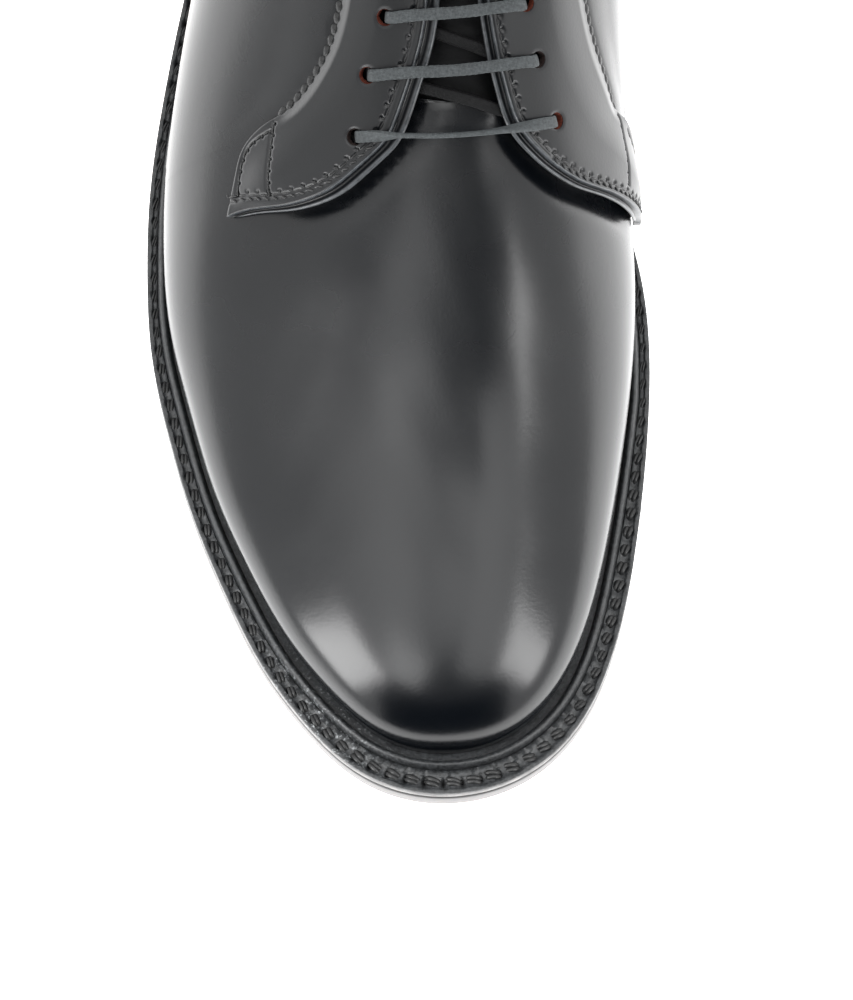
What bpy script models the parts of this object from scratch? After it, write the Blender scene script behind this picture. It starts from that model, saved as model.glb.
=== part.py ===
"""A right-foot derby shoe: lasted upper, two eyelet facings, tongue, insole, welt, outsole, heel and lace.

Metres. The toe points to -Y, the inner (medial) side is +X, the ground is z = 0. The upper, the facings, the
tongue and the lace all lie on one function, wall(), which is the surface of the last. A station is a share
of the sole's length from the toe tip. A rise is -1 at the feather edge, 0 at the widest line and 1 at the
ridge of the instep.
"""

import math

import bmesh
import bpy
import numpy as np
from mathutils import Matrix, Vector

SOLE_LENGTH = 0.308
BALL_WIDTH = 0.110
INSTEP = 0.0845
HEEL_HEIGHT = 0.026
TOE_SPRING = 0.014
TOE_MARGIN = 0.0092

OUTSOLE = 0.0060
WELT = 0.0032
WELT_UNDER = 0.0060
LIP_HEIGHT = 0.0018
LIP_WIDTH = 0.0018
LIP_PROFILE = ((1.15, 0), (0.85, 0.8), (0.5, 1), (0.15, 0.8), (0, 0))
EDGE_BEVEL = 0.0005
INSOLE = 0.0030
WALL = 0.0020
FACING = 0.0019
SEAM_THINNING = 0.65
TONGUE = 0.0030
TONGUE_RISE = 0.0012
TONGUE_GAP = 0.0012
TOP_PIECE = 0.0060
LIFT_COUNT = 3
HEEL_INSET = 0.0008
HEEL_TAPER = 0.0006
BREAST_HOLLOW = 0.0050
LACE_WIDTH = 0.0026
LACE_THICK = 0.0011
LACE_PINCH = 0.55
LACE_BEND = 0.36
LACE_TURN = 0.6
LACE_ASIDE = (0.002, -0.062)
EYELET_HOLE = 0.0036
GAP = 0.0003

# Radii and places of the last that are not in a table.
TOE_ROUND = 0.046
HEEL_ROUND = 0.041
TOE_DROP = 0.050
TIP_OFFSET = -0.0020
TIP_OFFSET_END = 0.30
BALL_FLAT = (0.27, 0.40)
BREAST = 0.745
HEEL_CENTRE = 0.850
THROAT = 0.437
THROAT_ROUND = 0.024
TONGUE_ENDS = (0.405, 0.632)
TONGUE_SHARE = (0.62, 0.70)
TONGUE_TOP_ROUND = 0.35

# Where the tongue rises into the open throat: how far inside the slot, and how far behind the throat.
RAISED_RISES = (0.08, 0.18)
RAISED_STATIONS = (0.015, 0.045)

# A facing lifts off the upper over these shares across and folds along, and is thinned along the seam.
LIFTED_ACROSS = 0.22
LIFTED_FOLDS = 3.0
SEAM_FOLDS = (4.2, 5.4)
SEAM_ACROSS = 0.16

# The upper's grid: stations from toe to throat, round the throat, along the side, round the heel, rises.
UPPER_COUNTS = (14, 8, 14, 7, 13)

# Half-widths of the sole in shares of BALL_WIDTH, and the welt's margin in shares of TOE_MARGIN.
PLAN = """
station medial lateral margin_m margin_l
0.00    0.350  0.350   1.00     1.00
0.04    0.356  0.366   0.92     0.91
0.09    0.362  0.413   0.87     0.86
0.15    0.372  0.467   0.87     0.86
0.21    0.383  0.522   0.87     0.87
0.27    0.393  0.566   0.85     0.85
0.33    0.397  0.600   0.81     0.81
0.39    0.382  0.611   0.78     0.77
0.45    0.338  0.608   0.75     0.75
0.52    0.272  0.580   0.70     0.70
0.60    0.213  0.530   0.65     0.64
0.68    0.205  0.470   0.60     0.58
0.77    0.265  0.403   0.56     0.55
0.88    0.335  0.345   0.52     0.52
1.00    0.327  0.327   0.52     0.52
"""

# The last's cross sections: how far the widest line stands out past the feather edge and where the ridge
# lies, in shares of BALL_WIDTH; their heights in shares of INSTEP; and how far the shoulders are drawn in.
LAST = """
station bulge_m bulge_l low_m low_l ridge_x ridge_z flat_m flat_l
0.03    0.006   0.006   0.10  0.10  -0.010  0.300   0.00   0.00
0.12    0.014   0.016   0.12  0.12   0.020  0.345   0.02   0.02
0.20    0.020   0.025   0.13  0.13   0.040  0.405   0.03   0.04
0.29    0.028   0.023   0.14  0.14   0.045  0.515   0.04   0.05
0.36    0.036   0.024   0.16  0.15   0.042  0.640   0.05   0.06
0.42    0.056   0.023   0.19  0.16   0.034  0.740   0.06   0.07
0.48    0.094   0.020   0.25  0.17   0.022  0.830   0.06   0.07
0.54    0.137   0.018   0.31  0.18   0.010  0.910   0.05   0.06
0.61    0.170   0.018   0.34  0.19   0.004  1.010   0.04   0.05
0.68    0.148   0.024   0.34  0.21   0.002  1.130   0.03   0.03
0.77    0.084   0.034   0.28  0.23   0.000  1.320   0.02   0.01
0.85    0.036   0.036   0.24  0.24   0.000  1.450   0.00   0.00
1.00    0.036   0.036   0.24  0.24   0.000  1.450   0.00   0.00
"""

# The upper's free edge behind the throat: the slot under the facings, then the collar, as rises.
COLLAR = """
station medial lateral
0.40    0.70   0.77
0.50    0.70   0.80
0.56    0.71   0.82
0.60    0.68   0.79
0.64    0.48   0.55
0.70    0.28   0.34
0.77    0.205  0.22
0.85    0.21   0.21
0.92    0.245  0.245
0.97    0.266  0.266
1.00    0.27   0.27
"""

# Each facing is a strip of folds from the tab's front corner to the top. Its outer edge is the tab and the
# seam, and its inner edge is the front rim and the throat edge. Both are places on the last.
FACING_LATERAL = """
fold outer_station outer_rise inner_station inner_rise
0    0.3885        0.400      0.3875        0.425
1    0.4000        0.412      0.3860        0.508
2    0.4150        0.428      0.3830        0.610
3    0.4300        0.450      0.3860        0.704
4    0.4400        0.500      0.3950        0.768
5    0.4460        0.560      0.4080        0.827
6    0.4550        0.622      0.4230        0.868
7    0.4730        0.685      0.4550        0.911
8    0.5000        0.725      0.4870        0.943
9    0.5450        0.750      0.5400        0.960
10   0.6000        0.765      0.6000        0.968
"""

FACING_MEDIAL = """
fold outer_station outer_rise inner_station inner_rise
0    0.4110        0.000      0.4105        0.040
1    0.4250        0.020      0.4050        0.150
2    0.4400        0.050      0.4015        0.300
3    0.4550        0.095      0.3990        0.458
4    0.4625        0.170      0.3975        0.600
5    0.4660        0.250      0.4025        0.720
6    0.4760        0.300      0.4110        0.800
7    0.4900        0.365      0.4250        0.868
8    0.5100        0.430      0.4520        0.911
9    0.5500        0.490      0.5000        0.945
10   0.6000        0.530      0.6000        0.968
"""

# The five pairs of eyelets, from the toe to the top.
EYELETS = """
row station_l rise_l station_m rise_m
1   0.422     0.770  0.434     0.6914
2   0.458     0.801  0.468     0.7535
3   0.490     0.842  0.499     0.7858
4   0.522     0.866  0.530     0.8182
5   0.553     0.884  0.560     0.8453
"""

HALF = 400
OUTLINE_STEP = 10
MEDIAL, LATERAL = 1, -1


def table(text):
    """The columns of a table by name."""
    lines = [line.split() for line in text.strip().splitlines()]
    rows = np.array([[float(value) for value in line] for line in lines[1:]])
    return {name: rows[:, index] for index, name in enumerate(lines[0])}


def spline(xs, ys, x):
    """The natural cubic spline through the points (xs, ys), read at x."""
    count = len(xs)
    step = np.diff(xs)
    matrix = np.eye(count)
    right = np.zeros(count)
    for i in range(1, count - 1):
        matrix[i, i - 1 : i + 2] = step[i - 1], 2 * (step[i - 1] + step[i]), step[i]
        right[i] = 6 * ((ys[i + 1] - ys[i]) / step[i] - (ys[i] - ys[i - 1]) / step[i - 1])
    bend = np.linalg.solve(matrix, right)
    x = np.clip(x, xs[0], xs[-1])
    i = np.clip(np.searchsorted(xs, x) - 1, 0, count - 2)
    p = (xs[i + 1] - x) / step[i]
    q = (x - xs[i]) / step[i]
    curve = ((p**3 - p) * bend[i] + (q**3 - q) * bend[i + 1]) * step[i] ** 2 / 6
    return p * ys[i] + q * ys[i + 1] + curve


def eased(xs, ys, x):
    """A curve through the points that never overshoots them: slopes are zero at the turns."""
    slope = np.diff(ys) / np.diff(xs)
    inner = np.where(slope[:-1] * slope[1:] > 0, 2 * slope[:-1] * slope[1:], 0)
    inner = inner / np.where(inner == 0, 1, slope[:-1] + slope[1:])
    tangent = np.concatenate([slope[:1], inner, slope[-1:]])
    x = np.clip(x, xs[0], xs[-1])
    i = np.clip(np.searchsorted(xs, x) - 1, 0, len(xs) - 2)
    width = xs[i + 1] - xs[i]
    q = (x - xs[i]) / width
    rise = (3 * q**2 - 2 * q**3) * (ys[i + 1] - ys[i])
    return ys[i] + rise + width * ((q**3 - 2 * q**2 + q) * tangent[i] + (q**3 - q**2) * tangent[i + 1])


def smooth(x):
    """0 below 0, 1 above 1 and an S-shaped step between."""
    x = np.clip(x, 0, 1)
    return x * x * (3 - 2 * x)


def between(ends, x):
    """The S-shaped step from 0 at the first of two ends to 1 at the second."""
    return smooth((x - ends[0]) / (ends[1] - ends[0]))


PLAN_ROWS = table(PLAN)
LAST_ROWS = table(LAST)
COLLAR_ROWS = table(COLLAR)


def plan(name, station):
    return spline(PLAN_ROWS["station"], PLAN_ROWS[name], station)


def last(name, station):
    return spline(LAST_ROWS["station"], LAST_ROWS[name], station)


def sided(side, name):
    """The column's name on this side of the foot."""
    return name + ("_m" if side == MEDIAL else "_l")


def rounded(distance, radius):
    """The share of the full width at this distance from a round end of about this radius."""
    return np.sqrt(1 - np.exp(-2 * np.maximum(distance, 0) / radius))


def tip_shift(station):
    return TIP_OFFSET * np.clip(1 - station / TIP_OFFSET_END, 0, 1) ** 2


def edge_x(station, side):
    """x of the sole's edge at this station."""
    width = BALL_WIDTH * plan("medial" if side == MEDIAL else "lateral", station)
    toe = rounded(station * SOLE_LENGTH, TOE_ROUND)
    heel = rounded((1 - station) * SOLE_LENGTH, HEEL_ROUND)
    return tip_shift(station) + side * width * toe * heel


def outline(inset):
    """The closed outline of the sole, from the toe tip along the medial side to the heel and back.

    inset(stations, sides) is how far each point is drawn in, square to the edge.
    """
    half = (1 - np.cos(np.linspace(0, math.pi, HALF + 1))) / 2
    medial = np.stack([edge_x(half, MEDIAL), half * SOLE_LENGTH], 1)
    lateral = np.stack([edge_x(half, LATERAL), half * SOLE_LENGTH], 1)
    points = np.concatenate([medial, lateral[-2:0:-1]])
    stations = np.concatenate([half, half[-2:0:-1]])
    sides = np.concatenate([np.full(HALF + 1, MEDIAL), np.full(HALF - 1, LATERAL)])
    along = np.roll(points, -1, 0) - np.roll(points, 1, 0)
    outward = np.stack([along[:, 1], -along[:, 0]], 1) / np.linalg.norm(along, axis=1)[:, None]
    return points - outward * inset(stations, sides)[:, None]


def margin(stations, sides):
    """The welt's width from the sole's edge in to the feather edge."""
    medial = plan("margin_m", stations)
    return TOE_MARGIN * np.where(sides == MEDIAL, medial, plan("margin_l", stations))


def sole_bottom(y):
    """Height of the sole's underside: toe spring, flat ball, shank and the flat heel seat."""
    station = y / SOLE_LENGTH
    toe = TOE_SPRING * np.clip(1 - station / BALL_FLAT[0], 0, 1) ** 2
    shank = smooth((station - BALL_FLAT[1]) / (BREAST - BALL_FLAT[1]))
    return toe + HEEL_HEIGHT * shank


def welt_bottom(y):
    return sole_bottom(y) + OUTSOLE + GAP


def feather_z(y):
    """Height of the feather edge, where the upper and the insole start."""
    return welt_bottom(y) + WELT + GAP


FEATHER = outline(margin)
TIP_Y = FEATHER[0, 1]
HEEL_Y = HEEL_CENTRE * SOLE_LENGTH


def feather_side(side):
    """The feather edge's points on one side, from the toe tip to the back of the heel."""
    if side == MEDIAL:
        return FEATHER[: HALF + 1]
    return np.concatenate([FEATHER[HALF:], FEATHER[:1]])[::-1]


def feather_reach(y, turn, side):
    """Distance of the feather edge from the middle: across the shoe, or from the heel's centre at a turn."""
    points = feather_side(side)
    across = np.interp(y, points[:, 1], points[:, 0])
    back = points[points[:, 1] >= HEEL_Y]
    angles = np.arctan2(back[:, 1] - HEEL_Y, np.abs(back[:, 0]))
    radius = np.interp(turn, angles, np.hypot(back[:, 0], back[:, 1] - HEEL_Y))
    return np.where(turn > 0, side * radius, across)


def section(station, side):
    """The measures of the last's half section at this station; behind HEEL_CENTRE the sections fan out."""
    turn = np.clip((station - HEEL_CENTRE) / (1 - HEEL_CENTRE), 0, 1) * math.pi / 2
    y = np.minimum(station, HEEL_CENTRE) * SOLE_LENGTH
    close = rounded(y - TIP_Y, TOE_DROP)
    foot = feather_reach(y, turn, side)
    bulge = BALL_WIDTH * last(sided(side, "bulge"), station) * rounded(y - TIP_Y, TOE_ROUND)
    return {
        "turn": turn,
        "y": y,
        "foot": foot,
        "wide": foot + side * bulge,
        "ridge": BALL_WIDTH * last("ridge_x", station) + tip_shift(station),
        "low": INSTEP * last(sided(side, "low"), station) * close,
        "high": INSTEP * last("ridge_z", station) * close,
        "flat": last(sided(side, "flat"), station),
    }


def wall(station, side, rise):
    """Points of the last's surface. Above the widest line a section is a quarter ellipse with its shoulder
    drawn in by flat, and below it the section curves in to the feather edge as a parabola."""
    station, rise = np.broadcast_arrays(np.asarray(station, float), np.asarray(rise, float))
    of = section(station, side)
    angle = np.maximum(rise, 0) * math.pi / 2
    under = np.minimum(rise, 0)
    shoulder = 1 - of["flat"] * np.sin(2 * angle) ** 2
    across = of["ridge"] + (of["wide"] - of["ridge"]) * shoulder * np.cos(angle)
    across = across - (of["wide"] - of["foot"]) * under**2
    up = of["low"] * (1 + under) + (of["high"] - of["low"]) * shoulder * np.sin(angle)
    x = across * np.cos(of["turn"])
    y = of["y"] + np.abs(across) * np.sin(of["turn"])
    return np.stack([x, y, feather_z(of["y"]) + up], -1)


def outward_normal(station, side, rise):
    """The surface's unit normal, from small steps along and up the last."""
    step = 1e-4
    along = wall(station + step, side, rise) - wall(station - step, side, rise)
    up = wall(station, side, np.minimum(rise + step, 1)) - wall(station, side, np.maximum(rise - step, -1))
    normal = np.cross(along, up) * side
    return normal / np.linalg.norm(normal, axis=-1, keepdims=True)


def skin(station, side, rise, offset):
    """Points at this offset out from the last's surface."""
    station, rise, offset = np.broadcast_arrays(station, rise, offset)
    return wall(station, side, rise) + outward_normal(station, side, rise) * offset[..., None]


def collar_rise(station, side):
    """Rise of the upper's free edge: a round throat, the slot under the facings and the collar."""
    name = "medial" if side == MEDIAL else "lateral"
    edge = eased(COLLAR_ROWS["station"], COLLAR_ROWS[name], station)
    into = np.clip((station - THROAT) / THROAT_ROUND, 0, 1)
    return 1 - (1 - edge) * np.sqrt(into * (2 - into))


def material(name, colour, roughness):
    made = bpy.data.materials.new(name)
    made.use_nodes = True
    shader = made.node_tree.nodes["Principled BSDF"]
    shader.inputs["Base Color"].default_value = (*colour, 1)
    shader.inputs["Roughness"].default_value = roughness
    shader.inputs["Metallic"].default_value = 0
    return made


def new_object(name, points, faces, finish, home):
    """A mesh object whose coincident points are joined and whose faces point outwards."""
    mesh = bpy.data.meshes.new(name)
    build = bmesh.new()
    verts = [build.verts.new(point) for point in points]
    for face in faces:
        if len(set(face)) == len(face):
            build.faces.new([verts[index] for index in face])
    bmesh.ops.remove_doubles(build, verts=build.verts, dist=1e-6)
    bmesh.ops.dissolve_degenerate(build, edges=build.edges, dist=1e-7)
    bmesh.ops.recalc_face_normals(build, faces=build.faces)
    build.to_mesh(mesh)
    build.free()
    mesh.materials.append(finish)
    mesh.shade_smooth()
    mesh.set_sharp_from_angle(angle=math.radians(40))
    made = bpy.data.objects.new(name, mesh)
    home.objects.link(made)
    return made


def grid_faces(first, rows, columns, wrap=False):
    """Quads of a grid of points numbered from first, row by row; wrap closes the rows into a loop."""
    faces = []
    for i in range(rows if wrap else rows - 1):
        here = first + i * columns
        after = first + (i + 1) % rows * columns
        for j in range(columns - 1):
            faces.append((here + j, after + j, after + j + 1, here + j + 1))
    return faces


def plate(outer, inner):
    """Points and faces of a solid between two grids, with a rim round all four sides."""
    rows, columns = outer.shape[:2]
    count = rows * columns
    points = np.concatenate([outer.reshape(-1, 3), inner.reshape(-1, 3)])
    faces = grid_faces(0, rows, columns) + grid_faces(count, rows, columns)
    border = [i * columns for i in range(rows)]
    border += [(rows - 1) * columns + j for j in range(1, columns)]
    border += [i * columns + columns - 1 for i in range(rows - 2, -1, -1)]
    border += list(range(columns - 2, 0, -1))
    for here, after in zip(border, border[1:] + border[:1]):
        faces.append((here, after, after + count, here + count))
    return points, faces


def laddered(rings):
    """Points and faces of a slab: rings joined side to side, and both ends closed by rungs across."""
    count = len(rings[0])
    points = np.concatenate(rings)
    faces = []
    for layer in range(len(rings) - 1):
        for i in range(count):
            j = (i + 1) % count
            base = layer * count
            faces.append((base + i, base + j, base + count + j, base + count + i))
    for base in (0, (len(rings) - 1) * count):
        for i in range(count // 2):
            rung = (base + i, base + i + 1, base + (count - i - 1) % count, base + (count - i) % count)
            faces.append(tuple(dict.fromkeys(rung)))
    return points, faces


def sole_ring(inset, height):
    """One ring of points round the sole: inset(stations, sides) in from the edge, at height(y)."""
    flat = outline(inset)[::OUTLINE_STEP]
    return np.column_stack([flat, height(flat[:, 1])])


def even(value):
    """An inset that is the same all the way round."""
    return lambda stations, sides: np.full(len(stations), value)


def make_outsole(finish, home):
    rings = [
        sole_ring(even(EDGE_BEVEL), sole_bottom),
        sole_ring(even(0), lambda y: sole_bottom(y) + EDGE_BEVEL),
        sole_ring(even(0), lambda y: sole_bottom(y) + OUTSOLE - EDGE_BEVEL),
        sole_ring(even(EDGE_BEVEL), lambda y: sole_bottom(y) + OUTSOLE),
    ]
    return new_object("outsole", *laddered(rings), finish, home)


def flare(stations, sides):
    """How far the upper stands out past the feather edge at the height of the welt's lip."""
    reach = []
    for side in (MEDIAL, LATERAL):
        bulge = BALL_WIDTH * last(sided(side, "bulge"), stations)
        low = INSTEP * last(sided(side, "low"), stations)
        reach.append(bulge * (1 - (1 - LIP_HEIGHT / low) ** 2))
    return np.where(sides == MEDIAL, reach[0], reach[1])


def make_welt(finish, home):
    """A ring with its profile carried round the sole: outer edge, flat top, raised lip and inner flange."""

    def lip(share):
        return lambda stations, sides: (
            margin(stations, sides) - 2 * GAP - flare(stations, sides) - share * LIP_WIDTH
        )

    def under(stations, sides):
        return margin(stations, sides) + WELT_UNDER

    profile = [
        (even(EDGE_BEVEL), 0),
        (even(0), EDGE_BEVEL),
        (even(0), WELT - EDGE_BEVEL),
        (even(EDGE_BEVEL), WELT),
    ]
    for share, rise in LIP_PROFILE:
        profile.append((lip(share), WELT + rise * LIP_HEIGHT))
    profile += [(under, WELT), (under, 0)]
    rings = [sole_ring(inset, lambda y, up=up: welt_bottom(y) + up) for inset, up in profile]
    count, columns = len(rings), len(rings[0])
    grid = np.stack(rings)
    grid = np.concatenate([grid, grid[:, :1]], 1)
    faces = grid_faces(0, count, columns + 1, wrap=True)
    return new_object("welt", grid.reshape(-1, 3), faces, finish, home)


def make_insole(finish, home):
    def inside(stations, sides):
        return margin(stations, sides) + WALL + 2 * GAP

    rings = [sole_ring(inside, feather_z), sole_ring(inside, lambda y: feather_z(y) + INSOLE)]
    return new_object("insole", *laddered(rings), finish, home)


def heel_outline(inset):
    """The heel's outline from above: the sole's edge behind the breast, closed by a hollow breast line."""
    edge = outline(even(inset))[::OUTLINE_STEP]
    front = BREAST * SOLE_LENGTH + inset
    back = edge[edge[:, 1] > front + BREAST_HOLLOW]
    half = outline(even(inset))[: HALF + 1]
    corner_m = np.interp(front, half[:, 1], half[:, 0])
    half = outline(even(inset))[HALF:][::-1]
    corner_l = np.interp(front, half[:, 1], half[:, 0])
    across = np.linspace(corner_l, corner_m, 9)
    share = (2 * across - corner_l - corner_m) / (corner_m - corner_l)
    breast = np.column_stack([across, front + BREAST_HOLLOW * (1 - share**2)])
    return np.concatenate([breast, back])


def make_heel(finishes, home):
    """The top piece on the ground and the stacked lifts over it, up to the outsole."""
    lift = (HEEL_HEIGHT - TOP_PIECE - (LIFT_COUNT + 1) * GAP) / LIFT_COUNT
    layers = [("heel_top_piece", 0, TOP_PIECE, finishes[0])]
    for number in range(LIFT_COUNT):
        bottom = TOP_PIECE + GAP + number * (lift + GAP)
        layers.append((f"heel_lift_{number + 1}", bottom, bottom + lift, finishes[1]))
    for place, (name, bottom, top, finish) in enumerate(layers):
        ring = heel_outline(HEEL_INSET + HEEL_TAPER * (LIFT_COUNT - place))
        count = len(ring)
        points = [(*point, z) for z in (bottom, top) for point in ring]
        faces = [(i, (i + 1) % count, count + (i + 1) % count, count + i) for i in range(count)]
        faces += [tuple(range(count)), tuple(range(count, 2 * count))]
        new_object(name, points, faces, finish, home)


def upper_stations():
    """Stations of the upper's sections: close at the toe tip, at the throat and round the heel."""
    tip = TIP_Y / SOLE_LENGTH
    to_toe, to_throat, to_side, to_heel = UPPER_COUNTS[:4]
    toe = tip + (THROAT - tip) * (1 - np.cos(np.linspace(0, math.pi / 2, to_toe + 1)))
    throat = THROAT + THROAT_ROUND * (1 - np.cos(np.linspace(0, math.pi / 2, to_throat + 1)))
    side = np.linspace(THROAT + THROAT_ROUND, HEEL_CENTRE, to_side + 1)
    heel = np.linspace(HEEL_CENTRE, 1, to_heel + 1)
    return toe[1:], np.concatenate([throat[1:], side[1:], heel[1:]])


def section_rises(top, count):
    """Rises from the feather edge to the top edge, closer together near the feather."""
    share = np.linspace(0, 1, count)
    return -1 + (top + 1) * (3 * share + share**2) / 4


def make_upper(finish, home):
    """The hollow upper: sections run from the toe tip along the medial side, round the heel and back."""
    closed, free = upper_stations()
    rise_count = UPPER_COUNTS[4]
    skins = []
    for inward in (0, WALL):
        columns = []
        for side in (MEDIAL, LATERAL):
            column = []
            for station in (*closed, *free):
                rises = section_rises(collar_rise(station, side), rise_count)
                points = skin(station, side, rises, -inward)
                points[0, 2] = feather_z(points[0, 1])
                column.append(points)
            columns.append(column)
        tip = np.array([tip_shift(TIP_Y / SOLE_LENGTH), TIP_Y + inward, feather_z(TIP_Y + inward)])
        pole = np.repeat(tip[None], rise_count, 0)
        skins.append(np.stack([pole] + columns[0] + columns[1][-2::-1]))
    rows, count = len(skins[0]), len(skins[0]) * rise_count
    faces = grid_faces(0, rows, rise_count, wrap=True) + grid_faces(count, rows, rise_count, wrap=True)
    for i in range(rows):
        here, after = i * rise_count, (i + 1) % rows * rise_count
        faces.append((here, after, after + count, here + count))
    top = rise_count - 1
    for i in range(len(closed), rows - len(closed)):
        here, after = i * rise_count + top, (i + 1) * rise_count + top
        faces.append((here, after, after + count, here + count))
    points = np.concatenate([grid.reshape(-1, 3) for grid in skins])
    return new_object("upper", points, faces, finish, home)


def facing_lift():
    """Room under the facings for the lace."""
    return LACE_THICK + 2 * GAP


def facing_place(side, fold, across):
    """Station and rise on a facing: fold along the strip, across from its outer (0) to its inner edge (1)."""
    rows = table(FACING_MEDIAL if side == MEDIAL else FACING_LATERAL)
    read = {name: spline(rows["fold"], rows[name], fold) for name in rows if name != "fold"}
    station = read["outer_station"] + (read["inner_station"] - read["outer_station"]) * across
    rise = read["outer_rise"] + (read["inner_rise"] - read["outer_rise"]) * across
    return station, rise


def facing_under(fold, across):
    """Offset of a facing's underside: on the upper at its outer edge, lifted for the lace further in."""
    return GAP + facing_lift() * smooth(across / LIFTED_ACROSS) * smooth(fold / LIFTED_FOLDS)


def facing_thickness(fold, across):
    """Full at the tab and inside, thinned towards the seam, where it is let into the quarter."""
    seam = between(SEAM_FOLDS, fold) * (1 - smooth(across / SEAM_ACROSS))
    return FACING * (1 - SEAM_THINNING * seam)


def make_facing(name, side, finish, home, cutters):
    folds = np.linspace(0, 10, 23)[:, None]
    across = np.array([0, 0.06, 0.14, 0.22, 0.36, 0.5, 0.64, 0.78, 0.9, 1.0])[None, :]
    station, rise = facing_place(side, folds, across)
    under = facing_under(folds, across)
    top = skin(station, side, rise, under + facing_thickness(folds, across))
    made = new_object(name, *plate(top, skin(station, side, rise, under)), finish, home)
    rows = table(EYELETS)
    for row in range(len(rows["row"])):
        place = rows[sided(side, "station")][row], side, rows[sided(side, "rise")][row]
        cutter = eyelet_cutter(f"{name}_hole_{row + 1}", place, cutters)
        cut = made.modifiers.new(f"eyelet_{row + 1}", "BOOLEAN")
        cut.object = cutter
        cut.operation = "DIFFERENCE"
    return made


def eyelet_cutter(name, place, cutters):
    """A round punch through a facing, square to the last at the eyelet."""
    normal = Vector(outward_normal(*place))
    depth = 8 * FACING
    build = bmesh.new()
    turn = normal.to_track_quat("Z", "Y").to_matrix().to_4x4()
    at = Matrix.Translation(Vector(wall(*place)) + normal * depth / 4)
    bmesh.ops.create_cone(
        build, cap_ends=True, segments=12, radius1=EYELET_HOLE / 2, radius2=EYELET_HOLE / 2,
        depth=depth, matrix=at @ turn,
    )
    mesh = bpy.data.meshes.new(name)
    build.to_mesh(mesh)
    build.free()
    cutter = bpy.data.objects.new(name, mesh)
    cutter.hide_render = True
    cutter.display_type = "WIRE"
    cutters.objects.link(cutter)
    return cutter


def make_tongue(finish, home):
    """A soft plate under the vamp and facings, raised a little where the throat is open."""
    stations = np.linspace(*TONGUE_ENDS, 19)
    spread = np.linspace(-1, 1, 15)
    top, bottom = [], []
    for station in stations:
        length = TONGUE_ENDS[1] - TONGUE_ENDS[0]
        narrow = 1 - TONGUE_TOP_ROUND * between((TONGUE_ENDS[1] - length / 6, TONGUE_ENDS[1]), station) ** 2
        layers = ([], [])
        for value in spread:
            side = MEDIAL if value > 0 else LATERAL
            edge = TONGUE_SHARE[0] if side == MEDIAL else TONGUE_SHARE[1]
            rise = 1 - (1 - edge) * abs(value) * narrow
            raised = TONGUE_RISE * between(RAISED_RISES, rise - collar_rise(station, side))
            raised = raised * between(RAISED_STATIONS, station - THROAT)
            offset = raised - WALL - TONGUE_GAP
            layers[0].append(skin(station, side, rise, offset))
            layers[1].append(skin(station, side, rise, offset - TONGUE))
        top.append(layers[0])
        bottom.append(layers[1])
    return new_object("tongue", *plate(np.array(top), np.array(bottom)), finish, home)


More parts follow.
